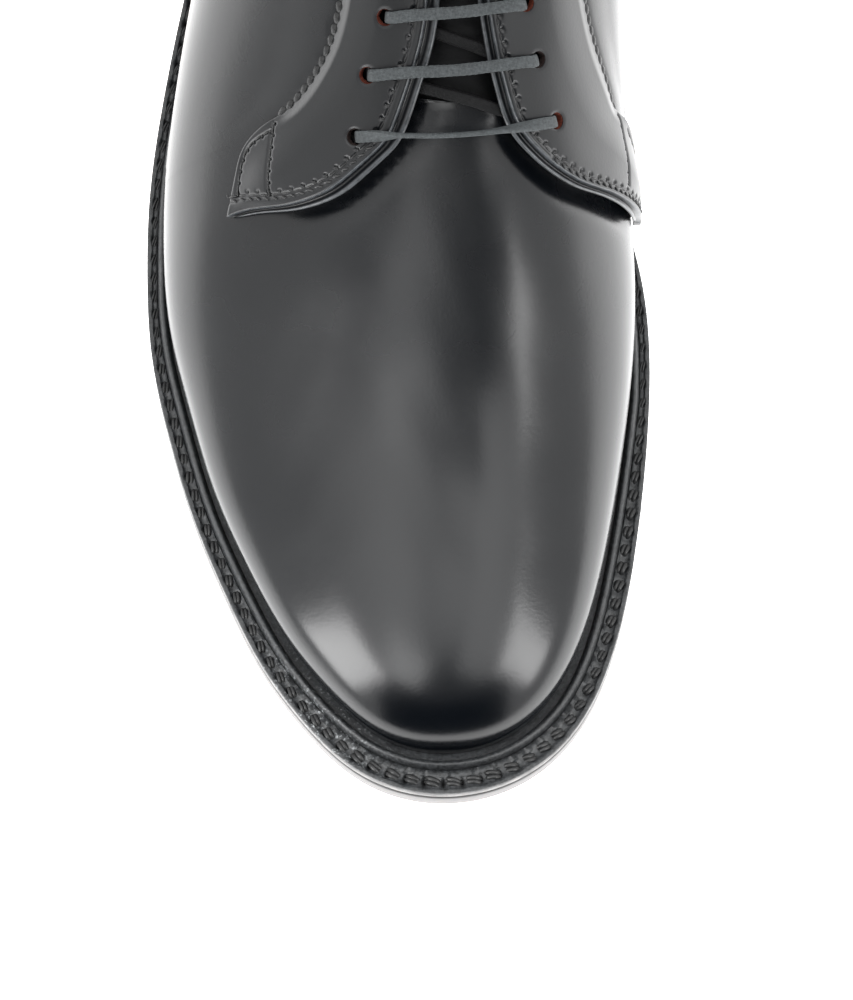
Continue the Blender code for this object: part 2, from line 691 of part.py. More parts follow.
def lace_path():
    """The lace's centre line, its width directions and its shares of the full width.

    It runs hidden up the lateral side, then in bars over the facings and in diagonals under them.
    """
    rows = table(EYELETS)
    count = len(rows["row"])
    holes = {
        side: np.column_stack([rows[sided(side, "station")], rows[sided(side, "rise")]])
        for side in (MEDIAL, LATERAL)
    }
    hidden = GAP + LACE_THICK / 2
    shown = GAP + facing_lift() + FACING + GAP + LACE_THICK / 2
    points, widths, shares = [], [], []

    def signed(side, place):
        """Places on both sides in one coordinate: the rise's distance from the ridge, signed by side."""
        return np.array([place[0], side * (1 - place[1])])

    def on_last(place, offset):
        spot = place[0], MEDIAL if place[1] > 0 else LATERAL, 1 - abs(place[1])
        return skin(*spot, offset), outward_normal(*spot)

    def add(place, offset, heading, share=1):
        point, normal = on_last(place, offset)
        width = np.cross(normal, heading)
        width /= np.linalg.norm(width)
        if widths and np.dot(width, widths[-1]) < 0:
            width = -width
        points.append(point)
        widths.append(width)
        shares.append(share)

    def stretch(start, end, offset, steps, trim_start, trim_end):
        """A stretch laid on the last from one place to another, starting and ending short of the eyelets."""
        a, b = on_last(start, offset)[0], on_last(end, offset)[0]
        heading = b - a
        length = np.linalg.norm(heading)
        along = np.linspace(trim_start / length, 1 - trim_end / length, steps)
        for index, share in enumerate(along):
            at_hole = index == 0 and trim_start > 0 or index == steps - 1 and trim_end > 0
            add(start + (end - start) * share, offset, heading, (1 + LACE_PINCH) / 2 if at_hole else 1)
        return heading

    def through(place, heading_in, heading_out, down):
        """Down or up through an eyelet, turning from one heading to the other."""
        middle = GAP + facing_lift() + FACING / 2
        quarter = FACING / 4
        levels = (middle + quarter, middle - quarter) if down else (middle - quarter, middle + quarter)
        add(place, levels[0], heading_in, LACE_PINCH)
        add(place, levels[1], heading_out, LACE_PINCH)

    bend = LACE_BEND * EYELET_HOLE
    aside = np.array(LACE_ASIDE)
    top_end = signed(LATERAL, holes[LATERAL][-1]) + aside
    bottom_end = signed(LATERAL, holes[LATERAL][0]) + aside
    stretch(top_end, bottom_end, hidden, 9, 0, 0)
    first = signed(LATERAL, holes[LATERAL][0])
    turn_in = on_last(first, hidden)[0] - on_last(bottom_end, hidden)[0]
    add(bottom_end + (first - bottom_end) * LACE_TURN, hidden, turn_in)
    across = on_last(signed(MEDIAL, holes[MEDIAL][0]), shown)[0] - on_last(first, shown)[0]
    through(first, turn_in, across, down=False)
    for row in range(count):
        left = signed(LATERAL, holes[LATERAL][row])
        right = signed(MEDIAL, holes[MEDIAL][row])
        bar = stretch(left, right, shown, 6, bend, bend)
        if row == count - 1:
            through(right, bar, bar, down=True)
            add(right, hidden, bar, LACE_PINCH)
            break
        above = signed(LATERAL, holes[LATERAL][row + 1])
        diagonal = on_last(above, hidden)[0] - on_last(right, hidden)[0]
        through(right, bar, diagonal, down=True)
        stretch(right, above, hidden, 8, bend, bend)
        next_right = signed(MEDIAL, holes[MEDIAL][row + 1])
        next_bar = on_last(next_right, shown)[0] - on_last(above, shown)[0]
        through(above, diagonal, next_bar, down=False)
    return np.array(points), np.array(widths), np.array(shares)


def make_laces(finish, home):
    """One flat lace: a rectangle carried along its path, with the ends closed."""
    centre, width, shares = lace_path()
    tangent = np.gradient(centre, axis=0)
    tangent /= np.linalg.norm(tangent, axis=1)[:, None]
    width = width - tangent * (width * tangent).sum(1)[:, None]
    width /= np.linalg.norm(width, axis=1)[:, None]
    face = np.cross(tangent, width)
    width *= shares[:, None]
    corners = [(-1, -1), (1, -1), (1, 1), (-1, 1)]
    rings = [centre + width * w * LACE_WIDTH / 2 + face * f * LACE_THICK / 2 for w, f in corners]
    grid = np.stack(rings + rings[:1], 1)
    rows, columns = grid.shape[:2]
    faces = grid_faces(0, rows, columns)
    faces += [(0, 1, 2, 3), tuple((rows - 1) * columns + j for j in range(4))]
    return new_object("laces", grid.reshape(-1, 3), faces, finish, home)


def centre_on_footprint(home):
    """Moves every mesh so that the whole shoe's box is centred on the origin and stands on z = 0."""
    points = np.concatenate([[v.co[:] for v in obj.data.vertices] for obj in home.objects])
    low, high = points.min(0), points.max(0)
    shift = Vector((-(low[0] + high[0]) / 2, -(low[1] + high[1]) / 2, -low[2]))
    for obj in bpy.data.objects:
        obj.data.transform(Matrix.Translation(shift))


def main():
    for obj in list(bpy.data.objects):
        bpy.data.objects.remove(obj)
    home = bpy.data.collections.new("derby_shoe")
    cutters = bpy.data.collections.new("cutters")
    for group in (home, cutters):
        bpy.context.scene.collection.children.link(group)
    cutters.hide_render = True
    leather = material("black_upper_leather", (0.012, 0.012, 0.014), 0.28)
    edge = material("black_sole_edge", (0.015, 0.014, 0.014), 0.45)
    sole = material("sole_leather", (0.30, 0.17, 0.085), 0.55)
    rubber = material("black_rubber", (0.02, 0.02, 0.02), 0.7)
    lining = material("tan_insole_leather", (0.42, 0.25, 0.13), 0.6)
    cotton = material("waxed_cotton", (0.06, 0.065, 0.07), 0.7)
    make_outsole(sole, home)
    make_welt(edge, home)
    make_insole(lining, home)
    make_heel((rubber, edge), home)
    make_upper(leather, home)
    make_tongue(leather.copy(), home)
    make_facing("facing_medial", MEDIAL, leather.copy(), home, cutters)
    make_facing("facing_lateral", LATERAL, leather.copy(), home, cutters)
    make_laces(cotton, home)
    centre_on_footprint(home)


main()
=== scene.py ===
"""The looks of the right-foot derby shoe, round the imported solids.

Everything that lies on the shoe's form is a function of the last: a station is a share of the sole's length
from the toe tip, and a rise is -1 at the feather edge, 0 at the widest line and 1 at the ridge of the instep.
The tables and the measures repeat those of the solids. Metres; the toe points to -Y and the inner side is +X.
"""

import math

import bmesh
import bpy
import numpy as np
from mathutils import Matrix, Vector


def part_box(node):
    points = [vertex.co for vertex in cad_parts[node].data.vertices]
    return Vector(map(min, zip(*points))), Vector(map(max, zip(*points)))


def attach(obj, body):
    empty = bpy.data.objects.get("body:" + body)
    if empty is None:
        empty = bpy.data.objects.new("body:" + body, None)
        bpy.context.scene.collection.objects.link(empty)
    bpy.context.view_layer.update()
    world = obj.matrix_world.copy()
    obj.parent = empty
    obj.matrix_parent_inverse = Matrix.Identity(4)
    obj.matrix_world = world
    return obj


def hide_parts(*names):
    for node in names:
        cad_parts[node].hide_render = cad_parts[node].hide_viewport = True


# The measures that the solids are made from.
SOLE_LENGTH = 0.308
BALL_WIDTH = 0.110
INSTEP = 0.0845
HEEL_HEIGHT = 0.026
TOE_SPRING = 0.014
TOE_MARGIN = 0.0092
OUTSOLE = 0.0060
WELT = 0.0032
WELT_UNDER = 0.0060
INSOLE = 0.0030
WALL = 0.0020
FACING = 0.0019
SEAM_THINNING = 0.65
TONGUE = 0.0030
TONGUE_RISE = 0.0012
TONGUE_GAP = 0.0012
TOP_PIECE = 0.0060
LIFT_COUNT = 3
HEEL_INSET = 0.0008
HEEL_TAPER = 0.0006
BREAST_HOLLOW = 0.0050
LACE_WIDTH = 0.0025
LACE_THICK = 0.0011
LACE_ASIDE = (0.002, -0.062)
EYELET_HOLE = 0.0036
GAP = 0.0003
TOE_ROUND = 0.046
HEEL_ROUND = 0.041
TOE_DROP = 0.050
TIP_OFFSET = -0.0020
TIP_OFFSET_END = 0.30
BALL_FLAT = (0.27, 0.40)
BREAST = 0.745
HEEL_CENTRE = 0.850
THROAT = 0.437
THROAT_ROUND = 0.024
TONGUE_ENDS = (0.405, 0.632)
TONGUE_SHARE = (0.62, 0.70)
TONGUE_TOP_ROUND = 0.35
RAISED_RISES = (0.08, 0.18)
RAISED_STATIONS = (0.015, 0.045)
LIFTED_ACROSS = 0.5
LIFTED_FOLDS = 3.0
SEAM_FOLDS = (4.2, 5.4)
SEAM_ACROSS = 0.16
MEDIAL, LATERAL = 1, -1

# The sole's half-widths in shares of BALL_WIDTH, and the welt's margin in shares of TOE_MARGIN.
PLAN = """
station medial lateral margin_m margin_l
0.00    0.350  0.350   1.00     1.00
0.04    0.356  0.366   0.92     0.91
0.09    0.362  0.413   0.87     0.86
0.15    0.372  0.467   0.87     0.86
0.21    0.383  0.522   0.87     0.87
0.27    0.393  0.566   0.85     0.85
0.33    0.397  0.600   0.81     0.81
0.39    0.382  0.611   0.78     0.77
0.45    0.338  0.608   0.75     0.75
0.52    0.272  0.580   0.70     0.70
0.60    0.213  0.530   0.65     0.64
0.68    0.205  0.470   0.60     0.58
0.77    0.265  0.403   0.56     0.55
0.88    0.335  0.345   0.52     0.52
1.00    0.327  0.327   0.52     0.52
"""

# The last's sections, in shares of BALL_WIDTH across and of INSTEP upwards.
LAST = """
station bulge_m bulge_l low_m low_l ridge_x ridge_z flat_m flat_l
0.03    0.006   0.006   0.10  0.10  -0.010  0.300   0.00   0.00
0.12    0.014   0.016   0.12  0.12   0.020  0.345   0.02   0.02
0.20    0.020   0.025   0.13  0.13   0.040  0.405   0.03   0.04
0.29    0.028   0.023   0.14  0.14   0.045  0.515   0.04   0.05
0.36    0.036   0.024   0.16  0.15   0.042  0.640   0.05   0.06
0.42    0.056   0.023   0.19  0.16   0.034  0.740   0.06   0.07
0.48    0.094   0.020   0.25  0.17   0.022  0.830   0.06   0.07
0.54    0.137   0.018   0.31  0.18   0.010  0.910   0.05   0.06
0.61    0.170   0.018   0.34  0.19   0.004  1.010   0.04   0.05
0.68    0.148   0.024   0.34  0.21   0.002  1.130   0.03   0.03
0.77    0.084   0.034   0.28  0.23   0.000  1.320   0.02   0.01
0.85    0.036   0.036   0.24  0.24   0.000  1.450   0.00   0.00
1.00    0.036   0.036   0.24  0.24   0.000  1.450   0.00   0.00
"""

# The upper's free edge behind the throat, as rises.
COLLAR = """
station medial lateral
0.40    0.70   0.77
0.50    0.70   0.80
0.56    0.71   0.82
0.60    0.68   0.79
0.64    0.48   0.55
0.70    0.28   0.34
0.77    0.205  0.22
0.85    0.21   0.21
0.92    0.245  0.245
0.97    0.266  0.266
1.00    0.27   0.27
"""

# The flaps: folds from the tab's front corner to the top, with their outer and inner edges on the last.
FLAP_LATERAL = """
fold outer_station outer_rise inner_station inner_rise
0    0.3885        0.400      0.3875        0.425
1    0.4000        0.412      0.3860        0.508
2    0.4150        0.428      0.3830        0.610
3    0.4300        0.450      0.3860        0.704
4    0.4400        0.500      0.3950        0.768
5    0.4460        0.560      0.4080        0.827
6    0.4550        0.622      0.4230        0.868
7    0.4730        0.685      0.4550        0.911
8    0.5000        0.725      0.4870        0.943
9    0.5450        0.750      0.5400        0.960
10   0.6000        0.765      0.6000        0.968
"""

FLAP_MEDIAL = """
fold outer_station outer_rise inner_station inner_rise
0    0.4110        0.000      0.4105        0.040
1    0.4250        0.020      0.4050        0.150
2    0.4400        0.050      0.4015        0.300
3    0.4550        0.095      0.3990        0.458
4    0.4625        0.170      0.3975        0.600
5    0.4660        0.250      0.4025        0.720
6    0.4760        0.300      0.4110        0.800
7    0.4900        0.365      0.4250        0.868
8    0.5100        0.430      0.4520        0.911
9    0.5500        0.490      0.5000        0.945
10   0.6000        0.530      0.6000        0.968
"""

EYELETS = """
row station_l rise_l station_m rise_m
1   0.422     0.770  0.434     0.6914
2   0.458     0.801  0.468     0.7535
3   0.490     0.842  0.499     0.7858
4   0.522     0.866  0.530     0.8182
5   0.553     0.884  0.560     0.8453
"""

# The flaps' looks: curled rims, the valley in the vamp before them, the seams, the rims' two layers with
# their edges painted grey as a painted highlight, partly rubbed wear, and the eyelets' dents and punches.
RIM_CURL = 0.0005
CURL_ACROSS = (0.35, 1.0)
CURL_FOLDS = (0.6, 2.4)
CURL_END = (7.5, 9.5)
CLEAR_FOLD = 0.5
VALLEY = 0.0015
VALLEY_WIDTH = 0.0032
VALLEY_FOLDS = (0.3, 7.6)
VALLEY_START = (0.0, 0.25)
VALLEY_END = (0.85, 1.0)
SEAM_STITCH = 0.0025
SEAM_SHOWN = (4.4, 5.4)
SEAM_THREAD = 0.0017
SEAM_THREAD_FOLDS = (4.7, 9.9)
SEAM_THREAD_ASIDE = 0.00025
SEAM_THREAD_UP = 0.0004
SEAM_THREAD_SINK = 0.00035
SEAM_ROLL = 0.0003
SEAM_ROLL_WIDTH = 0.0012
SEAM_SCALLOP = 0.0003
SEAM_SCALLOP_WIDTH = 0.0006
MAIN_INSET = {LATERAL: 0.0037, MEDIAL: 0.0025}
MAIN_FOLDS = (1.0, 9.8)
FRONT_INSET = {LATERAL: 0.0028, MEDIAL: 0.0018}
FRONT_FOLDS = (0.8, 5.4)
RIM_STEP = {LATERAL: 0.0018, MEDIAL: 0.0013}
RIM_ROUND = 0.0007
RIM_DROP = 0.0005
RIM_DEEP = 0.0004
RIM_DEEP_WIDTH = 0.003
RIM_LIP = 0.001
RIM_HIGHEST = 0.9995
# Painted highlight on the rims, partly rubbed wear: how grey, how far in from the edge it peaks, and how
# wide.
RIM_HIGHLIGHT = 0.6
RIM_HIGHLIGHT_INSET = 0.00008
RIM_HIGHLIGHT_WIDTH = 0.0002
EYELET_DENT = 0.00012
EYELET_DENT_WIDTH = 0.0003
PUNCH_UP = 0.003
PUNCH_LENGTH = 0.012
THINNEST = 0.0002
DYED_EYELETS = ((LATERAL, 0), (MEDIAL, 1))

# The quarters' looks: the lip along the flap's seam, measured from the seam, the vamp's slow unevenness, and
# the pressed lines at the back and below the collar.
SEAM_START = {MEDIAL: 0.462, LATERAL: 0.443}
SEAM_LIP = 0.0006
LIP_FROM = 0.0002
LIP_UP = 0.0016
LIP_TO = 0.002
LIP_DOWN = 0.014
LIP_START = (-0.012, 0.02)
LIP_END = (0.60, 0.68)
UNEVEN = 0.00007
UNEVEN_START = (0.10, 0.18)
UNEVEN_END = (0.40, 0.46)
UNEVEN_RISES = (0.3, 0.7)
BACK_LINE = 0.00025
BACK_LINE_WIDTH = 0.0012
BACK_LINE_FROM = 0.9
TOP_LINE = 0.00015
TOP_LINE_WIDTH = 0.0008
TOP_LINE_BELOW = 0.0035
TOP_LINE_FROM = 0.62

# The lining: its two faces below the upper's inside, and how far it stops short of the collar, as a rise.
LINING_FACES = (0.0001, 0.0007)
LINING_DROP = 0.012

# The tongue's looks: its rounded edge and the share of its width that it takes, and the wrinkles across it.
TONGUE_EDGE = 0.0012
TONGUE_SOFT = 0.06
TONGUE_WRINKLE = 0.0002
WRINKLED_FROM = (0.45, 0.47)

# The lace's looks: how far its bars and diagonals bow to the toe, the shares of the first bar over which it
# turns on edge and then over, its bloom where it is hidden, which is taken away there as painted shade, the
# pitch of its yarns, its rings and sides, how rounded its section is, and its clearance above a flap.
BAR_BOWS = (0.0026, 0.0017, 0.0012, 0.0010, 0.0008)
DIAGONAL_BOW = 0.0032
TWIST_UP = (0.02, 0.22)
TWIST_DOWN = (0.50, 0.98)
HIDDEN_SHADED_BLOOM = 0.0
YARN = 0.00062
LACE_STEPS = 1700
LACE_SIDES = 24
LACE_SQUARENESS = 0.55
LACE_CLEAR = 0.00012

# The welt's looks: outer rim, stitch, channel and holes, with a hole's width as a share of a stitch, the bead
# with the gap before it, and the crease.
WELT_EDGE = 0.0010
WELT_STITCH = 0.0043
WELT_CHANNEL = 0.00045
WELT_HOLE = 0.0012
WELT_HOLE_WIDTH = 0.13
STITCH_SHAKE = 0.00008
BEAD_WIDTH = 0.0021
BEAD_HEIGHT = 0.0017
BEAD_LEAST = 0.0024
BEAD_GAP = 0.0003
TOE_BEAD_GAP = 0.0012
CREASE = 0.0003
TOE_CREASE = 0.0006

# The rounding of the heel's layers.
HEEL_ROUNDING = 0.00035

# The stitch rows of the flaps: pitch, strands, channel and pits.
MAIN_ROW = {"pitch": 0.0030, "aside": 0.0006, "slant": 0.0, "depth": 0.00022,
            "length": 0.0026, "thick": 0.00042, "sink": 0.00025,
            "channel": 0.00028, "width": 0.00035, "hole": 0.00055, "pit": 0.00042}
FRONT_ROW = {"pitch": 0.0023, "aside": 0.0, "slant": 0.55, "depth": 0.00008,
             "length": 0.0016, "thick": 0.00050, "sink": 0.0001,
             "channel": 0.00022, "width": 0.00045, "hole": 0.00035, "pit": 0.00035}
TAB_ROW = {"pitch": 0.0025, "aside": 0.0003, "slant": 0.0, "depth": 0.00018,
           "length": 0.0021, "thick": 0.00045, "sink": 0.00025,
           "channel": 0.00035, "width": 0.00045, "hole": 0.00050, "pit": 0.00045}

# The room, its heights in degrees and its light as a strength, with white 1. The dark gap's half width is a
# share of the way sideways: one part falls away over GAP_LOW_HEIGHTS, one narrows over GAP_HIGH_HEIGHTS, and
# the gap moves GAP_LEFT aside over its own heights.
GAP_LOW = (0.33, 0.0)
GAP_LOW_HEIGHTS = (42.0, 62.0)
GAP_HIGH = (0.30, 0.12)
GAP_HIGH_HEIGHTS = (54.0, 74.0)
GAP_LEFT = 0.06
GAP_LEFT_HEIGHTS = (62.0, 74.0)
GAP_SOFT = 0.055
GAP_LIGHT = (0.02, 0.35)
BEHIND = (-0.02, 0.08)
OVERHEAD = 0.95
OVERHEAD_HEIGHTS = (72.0, 86.0)
WALL_LIGHT = (1.35, 2.50)
WALL_HEIGHTS = (46.0, 72.0)
FLOOR_LIGHT = 2.2
FLOOR_GAP = 0.0002
FLOOR_REACH = 6.0

# The near lamps: name, place and aim in the solids' measures, width and height, and power in watts.
LAMPS = (
    ("toe_lamp_left", (-0.1317, -0.0188, 0.1057), (-0.0225, 0.0276, 0.0315), (0.062, 0.110), 0.232),
    ("toe_lamp_right", (0.1568, -0.0244, 0.1494), (0.0161, 0.0268, 0.0324), (0.070, 0.130), 0.245),
    ("vamp_lamp", (-0.0957, -0.0540, 0.2760), (-0.0166, 0.0948, 0.0524), (0.090, 0.090), 0.065),
)

# The photo's view: where it looks, from how high and how far, and its lens on a 36 mm sensor.
VIEW_TARGET = (-0.0055, 0.0722, 0.0)
VIEW_ELEVATION = 72
VIEW_DISTANCE = 1.0
VIEW_LENS = 164.5

OUTLINE_HALF = 1500


def table(text):
    """The columns of a table by name."""
    lines = [line.split() for line in text.strip().splitlines()]
    rows = np.array([[float(value) for value in line] for line in lines[1:]])
    return {name: rows[:, index] for index, name in enumerate(lines[0])}


def spline(xs, ys, x):
    """The natural cubic spline through the points (xs, ys), read at x: its bends solve a banded system."""
    count = len(xs)
    step = np.diff(xs)
    matrix = np.eye(count)
    right = np.zeros(count)
    for i in range(1, count - 1):
        matrix[i, i - 1 : i + 2] = step[i - 1], 2 * (step[i - 1] + step[i]), step[i]
        right[i] = 6 * ((ys[i + 1] - ys[i]) / step[i] - (ys[i] - ys[i - 1]) / step[i - 1])
    bend = np.linalg.solve(matrix, right)
    x = np.clip(x, xs[0], xs[-1])
    i = np.clip(np.searchsorted(xs, x) - 1, 0, count - 2)
    p = (xs[i + 1] - x) / step[i]
    q = (x - xs[i]) / step[i]
    curve = ((p**3 - p) * bend[i] + (q**3 - q) * bend[i + 1]) * step[i] ** 2 / 6
    return p * ys[i] + q * ys[i + 1] + curve


def eased(xs, ys, x):
    """A cubic curve through the points that never overshoots: its slopes are zero at the turns."""
    slope = np.diff(ys) / np.diff(xs)
    inner = np.where(slope[:-1] * slope[1:] > 0, 2 * slope[:-1] * slope[1:], 0)
    inner = inner / np.where(inner == 0, 1, slope[:-1] + slope[1:])
    tangent = np.concatenate([slope[:1], inner, slope[-1:]])
    x = np.clip(x, xs[0], xs[-1])
    i = np.clip(np.searchsorted(xs, x) - 1, 0, len(xs) - 2)
    width = xs[i + 1] - xs[i]
    q = (x - xs[i]) / width
    rise = (3 * q**2 - 2 * q**3) * (ys[i + 1] - ys[i])
    return ys[i] + rise + width * ((q**3 - 2 * q**2 + q) * tangent[i] + (q**3 - q**2) * tangent[i + 1])


def smooth(x):
    """0 below 0, 1 above 1 and an S-shaped step between."""
    x = np.clip(x, 0, 1)
    return x * x * (3 - 2 * x)


def between(ends, x):
    """The S-shaped step from 0 at the first of two ends to 1 at the second."""
    return smooth((x - ends[0]) / (ends[1] - ends[0]))


def bump(x, width):
    """A smooth hump of height 1 at x = 0 that has faded out a couple of widths away."""
    return np.exp(-((x / width) ** 2))


PLAN_ROWS = table(PLAN)
LAST_ROWS = table(LAST)
COLLAR_ROWS = table(COLLAR)
EYELET_ROWS = table(EYELETS)
FLAP_ROWS = {MEDIAL: table(FLAP_MEDIAL), LATERAL: table(FLAP_LATERAL)}


def plan(name, station):
    return spline(PLAN_ROWS["station"], PLAN_ROWS[name], station)


def last(name, station):
    return spline(LAST_ROWS["station"], LAST_ROWS[name], station)


def sided(side, name):
    """The column's name on this side of the foot."""
    return name + ("_m" if side == MEDIAL else "_l")


def side_word(side):
    return "medial" if side == MEDIAL else "lateral"


def rounded(distance, radius):
    """The share of the full width at this distance from a round end of about this radius."""
    return np.sqrt(1 - np.exp(-2 * np.maximum(distance, 0) / radius))


def tip_shift(station):
    return TIP_OFFSET * np.clip(1 - station / TIP_OFFSET_END, 0, 1) ** 2


def edge_x(station, side):
    """x of the sole's edge at this station."""
    width = BALL_WIDTH * plan(side_word(side), station)
    toe = rounded(station * SOLE_LENGTH, TOE_ROUND)
    heel = rounded((1 - station) * SOLE_LENGTH, HEEL_ROUND)
    return tip_shift(station) + side * width * toe * heel


def sole_edge():
    """The closed outline of the sole as points, outward directions, stations and sides."""
    half = (1 - np.cos(np.linspace(0, math.pi, OUTLINE_HALF + 1))) / 2
    medial = np.stack([edge_x(half, MEDIAL), half * SOLE_LENGTH], 1)
    lateral = np.stack([edge_x(half, LATERAL), half * SOLE_LENGTH], 1)
    points = np.concatenate([medial, lateral[-2:0:-1]])
    stations = np.concatenate([half, half[-2:0:-1]])
    sides = np.concatenate([np.full(OUTLINE_HALF + 1, MEDIAL), np.full(OUTLINE_HALF - 1, LATERAL)])
    along = np.roll(points, -1, 0) - np.roll(points, 1, 0)
    outward = np.stack([along[:, 1], -along[:, 0]], 1) / np.linalg.norm(along, axis=1)[:, None]
    return points, outward, stations, sides


EDGE_POINTS, EDGE_OUTWARD, EDGE_STATIONS, EDGE_SIDES = sole_edge()


def margin(stations, sides):
    """The welt's width from the sole's edge in to the feather edge."""
    medial = plan("margin_m", stations)
    share = np.where(sides == MEDIAL, medial, plan("margin_l", stations))
    return TOE_MARGIN * share


def sole_bottom(y):
    """Height of the sole's underside: toe spring, flat ball, shank and the flat heel seat."""
    station = y / SOLE_LENGTH
    toe = TOE_SPRING * np.clip(1 - station / BALL_FLAT[0], 0, 1) ** 2
    shank = smooth((station - BALL_FLAT[1]) / (BREAST - BALL_FLAT[1]))
    return toe + HEEL_HEIGHT * shank


def welt_bottom(y):
    return sole_bottom(y) + OUTSOLE + GAP


def feather_z(y):
    return welt_bottom(y) + WELT + GAP


FEATHER = EDGE_POINTS - EDGE_OUTWARD * margin(EDGE_STATIONS, EDGE_SIDES)[:, None]
TIP_Y = FEATHER[0, 1]
HEEL_Y = HEEL_CENTRE * SOLE_LENGTH


def feather_side(side):
    """The feather edge's points on one side, from the toe tip to the back of the heel."""
    if side == MEDIAL:
        return FEATHER[: OUTLINE_HALF + 1]
    return np.concatenate([FEATHER[OUTLINE_HALF:], FEATHER[:1]])[::-1]


def feather_reach(y, turn, side):
    """Distance of the feather edge from the middle: across the shoe, or from the heel's centre at a turn."""
    points = feather_side(side)
    across = np.interp(y, points[:, 1], points[:, 0])
    back = points[points[:, 1] >= HEEL_Y]
    angles = np.arctan2(back[:, 1] - HEEL_Y, np.abs(back[:, 0]))
    radius = np.interp(turn, angles, np.hypot(back[:, 0], back[:, 1] - HEEL_Y))
    return np.where(turn > 0, side * radius, across)


def section(station, side):
    """The measures of the last's half section at this station; behind HEEL_CENTRE the sections fan out."""
    turn = np.clip((station - HEEL_CENTRE) / (1 - HEEL_CENTRE), 0, 1) * math.pi / 2
    y = np.minimum(station, HEEL_CENTRE) * SOLE_LENGTH
    close = rounded(y - TIP_Y, TOE_DROP)
    foot = feather_reach(y, turn, side)
    bulge = BALL_WIDTH * last(sided(side, "bulge"), station) * rounded(y - TIP_Y, TOE_ROUND)
    return {
        "turn": turn,
        "y": y,
        "foot": foot,
        "wide": foot + side * bulge,
        "ridge": BALL_WIDTH * last("ridge_x", station) + tip_shift(station),
        "low": INSTEP * last(sided(side, "low"), station) * close,
        "high": INSTEP * last("ridge_z", station) * close,
        "flat": last(sided(side, "flat"), station),
    }


def wall(station, side, rise):
    """Points of the last: a quarter ellipse with its shoulder drawn in, and below it a parabola."""
    station, rise = np.broadcast_arrays(np.asarray(station, float), np.asarray(rise, float))
    of = section(station, side)
    angle = np.maximum(rise, 0) * math.pi / 2
    under = np.minimum(rise, 0)
    shoulder = 1 - of["flat"] * np.sin(2 * angle) ** 2
    across = of["ridge"] + (of["wide"] - of["ridge"]) * shoulder * np.cos(angle)
    across = across - (of["wide"] - of["foot"]) * under**2
    up = of["low"] * (1 + under) + (of["high"] - of["low"]) * shoulder * np.sin(angle)
    x = across * np.cos(of["turn"])
    y = of["y"] + np.abs(across) * np.sin(of["turn"])
    return np.stack([x, y, feather_z(of["y"]) + up], -1)


def outward_normal(station, side, rise):
    """The last's unit normal, from small steps along it and up it."""
    step = 1e-4
    along = wall(station + step, side, rise) - wall(station - step, side, rise)
    up = wall(station, side, np.minimum(rise + step, 1)) - wall(station, side, np.maximum(rise - step, -1))
    normal = np.cross(along, up) * side
    return normal / np.maximum(np.linalg.norm(normal, axis=-1, keepdims=True), 1e-12)


def skin(station, side, rise, offset):
    """Points at this offset out from the last."""
    station, rise, offset = np.broadcast_arrays(station, rise, offset)
    return wall(station, side, rise) + outward_normal(station, side, rise) * offset[..., None]


def collar_rise(station, side):
    """Rise of the upper's free edge: a round throat, the slot under the flaps and the collar."""
    edge = eased(COLLAR_ROWS["station"], COLLAR_ROWS[side_word(side)], station)
    into = np.clip((station - THROAT) / THROAT_ROUND, 0, 1)
    return 1 - (1 - edge) * np.sqrt(into * (2 - into))


def flap_place(side, fold, across):
    """Station and rise on a flap: fold along the strip, across from its outer (0) to its inner edge (1)."""
    rows = FLAP_ROWS[side]
    read = {name: spline(rows["fold"], rows[name], fold) for name in rows if name != "fold"}
    station = read["outer_station"] + (read["inner_station"] - read["outer_station"]) * across
    rise = read["outer_rise"] + (read["inner_rise"] - read["outer_rise"]) * across
    return station, rise


def flap_under(fold, across):
    """Offset of a flap's underside: on the upper outside, lifted for the lace and curled up at its rim."""
    lift = LACE_THICK + 2 * GAP
    lifted_part = lift * between((0, LIFTED_ACROSS), across) * between((0, LIFTED_FOLDS), fold)
    curled = RIM_CURL * between(CURL_ACROSS, across) * between(CURL_FOLDS, fold)
    curled = curled * (1 - between(CURL_END, fold))
    return GAP + lifted_part + curled


def flap_thickness(fold, across):
    """Full at the tab and inside, thinned towards the seam, where it is let into the quarter."""
    seam = between(SEAM_FOLDS, fold) * (1 - smooth(across / SEAM_ACROSS))
    return FACING * (1 - SEAM_THINNING * seam)


# Mesh helpers.


def lengths(points):
    """Running length along a row of points, from 0."""
    return np.concatenate([[0], np.cumsum(np.linalg.norm(np.diff(points, axis=0), axis=1))])


def read_along(run, values, places):
    """Rows of values, given at these running lengths, read at other places."""
    return np.stack([np.interp(places, run, values[:, k]) for k in range(values.shape[1])], 1)


def resampled(points, count):
    """A row of points spread evenly along its length."""
    run = lengths(points)
    return read_along(run, points, np.linspace(0, run[-1], count))


def unit(vectors):
    """The vectors at length 1."""
    return vectors / np.linalg.norm(vectors, axis=-1, keepdims=True)


def grid_quads(rows, columns, wrap_rows=False, wrap_columns=False, first=0):
    """The corners of a grid's quads, row by row, as whole arrays."""
    i = np.arange(rows if wrap_rows else rows - 1)[:, None]
    j = np.arange(columns if wrap_columns else columns - 1)[None, :]
    after_i, after_j = (i + 1) % rows, (j + 1) % columns
    corners = [i * columns + j, after_i * columns + j, after_i * columns + after_j, i * columns + after_j]
    return first + np.stack([np.broadcast_to(c, (i.size, j.size)) for c in corners], -1).reshape(-1, 4)


def placed(name, data):
    """A new object in the scene."""
    made = bpy.data.objects.new(name, data)
    bpy.context.scene.collection.objects.link(made)
    return made


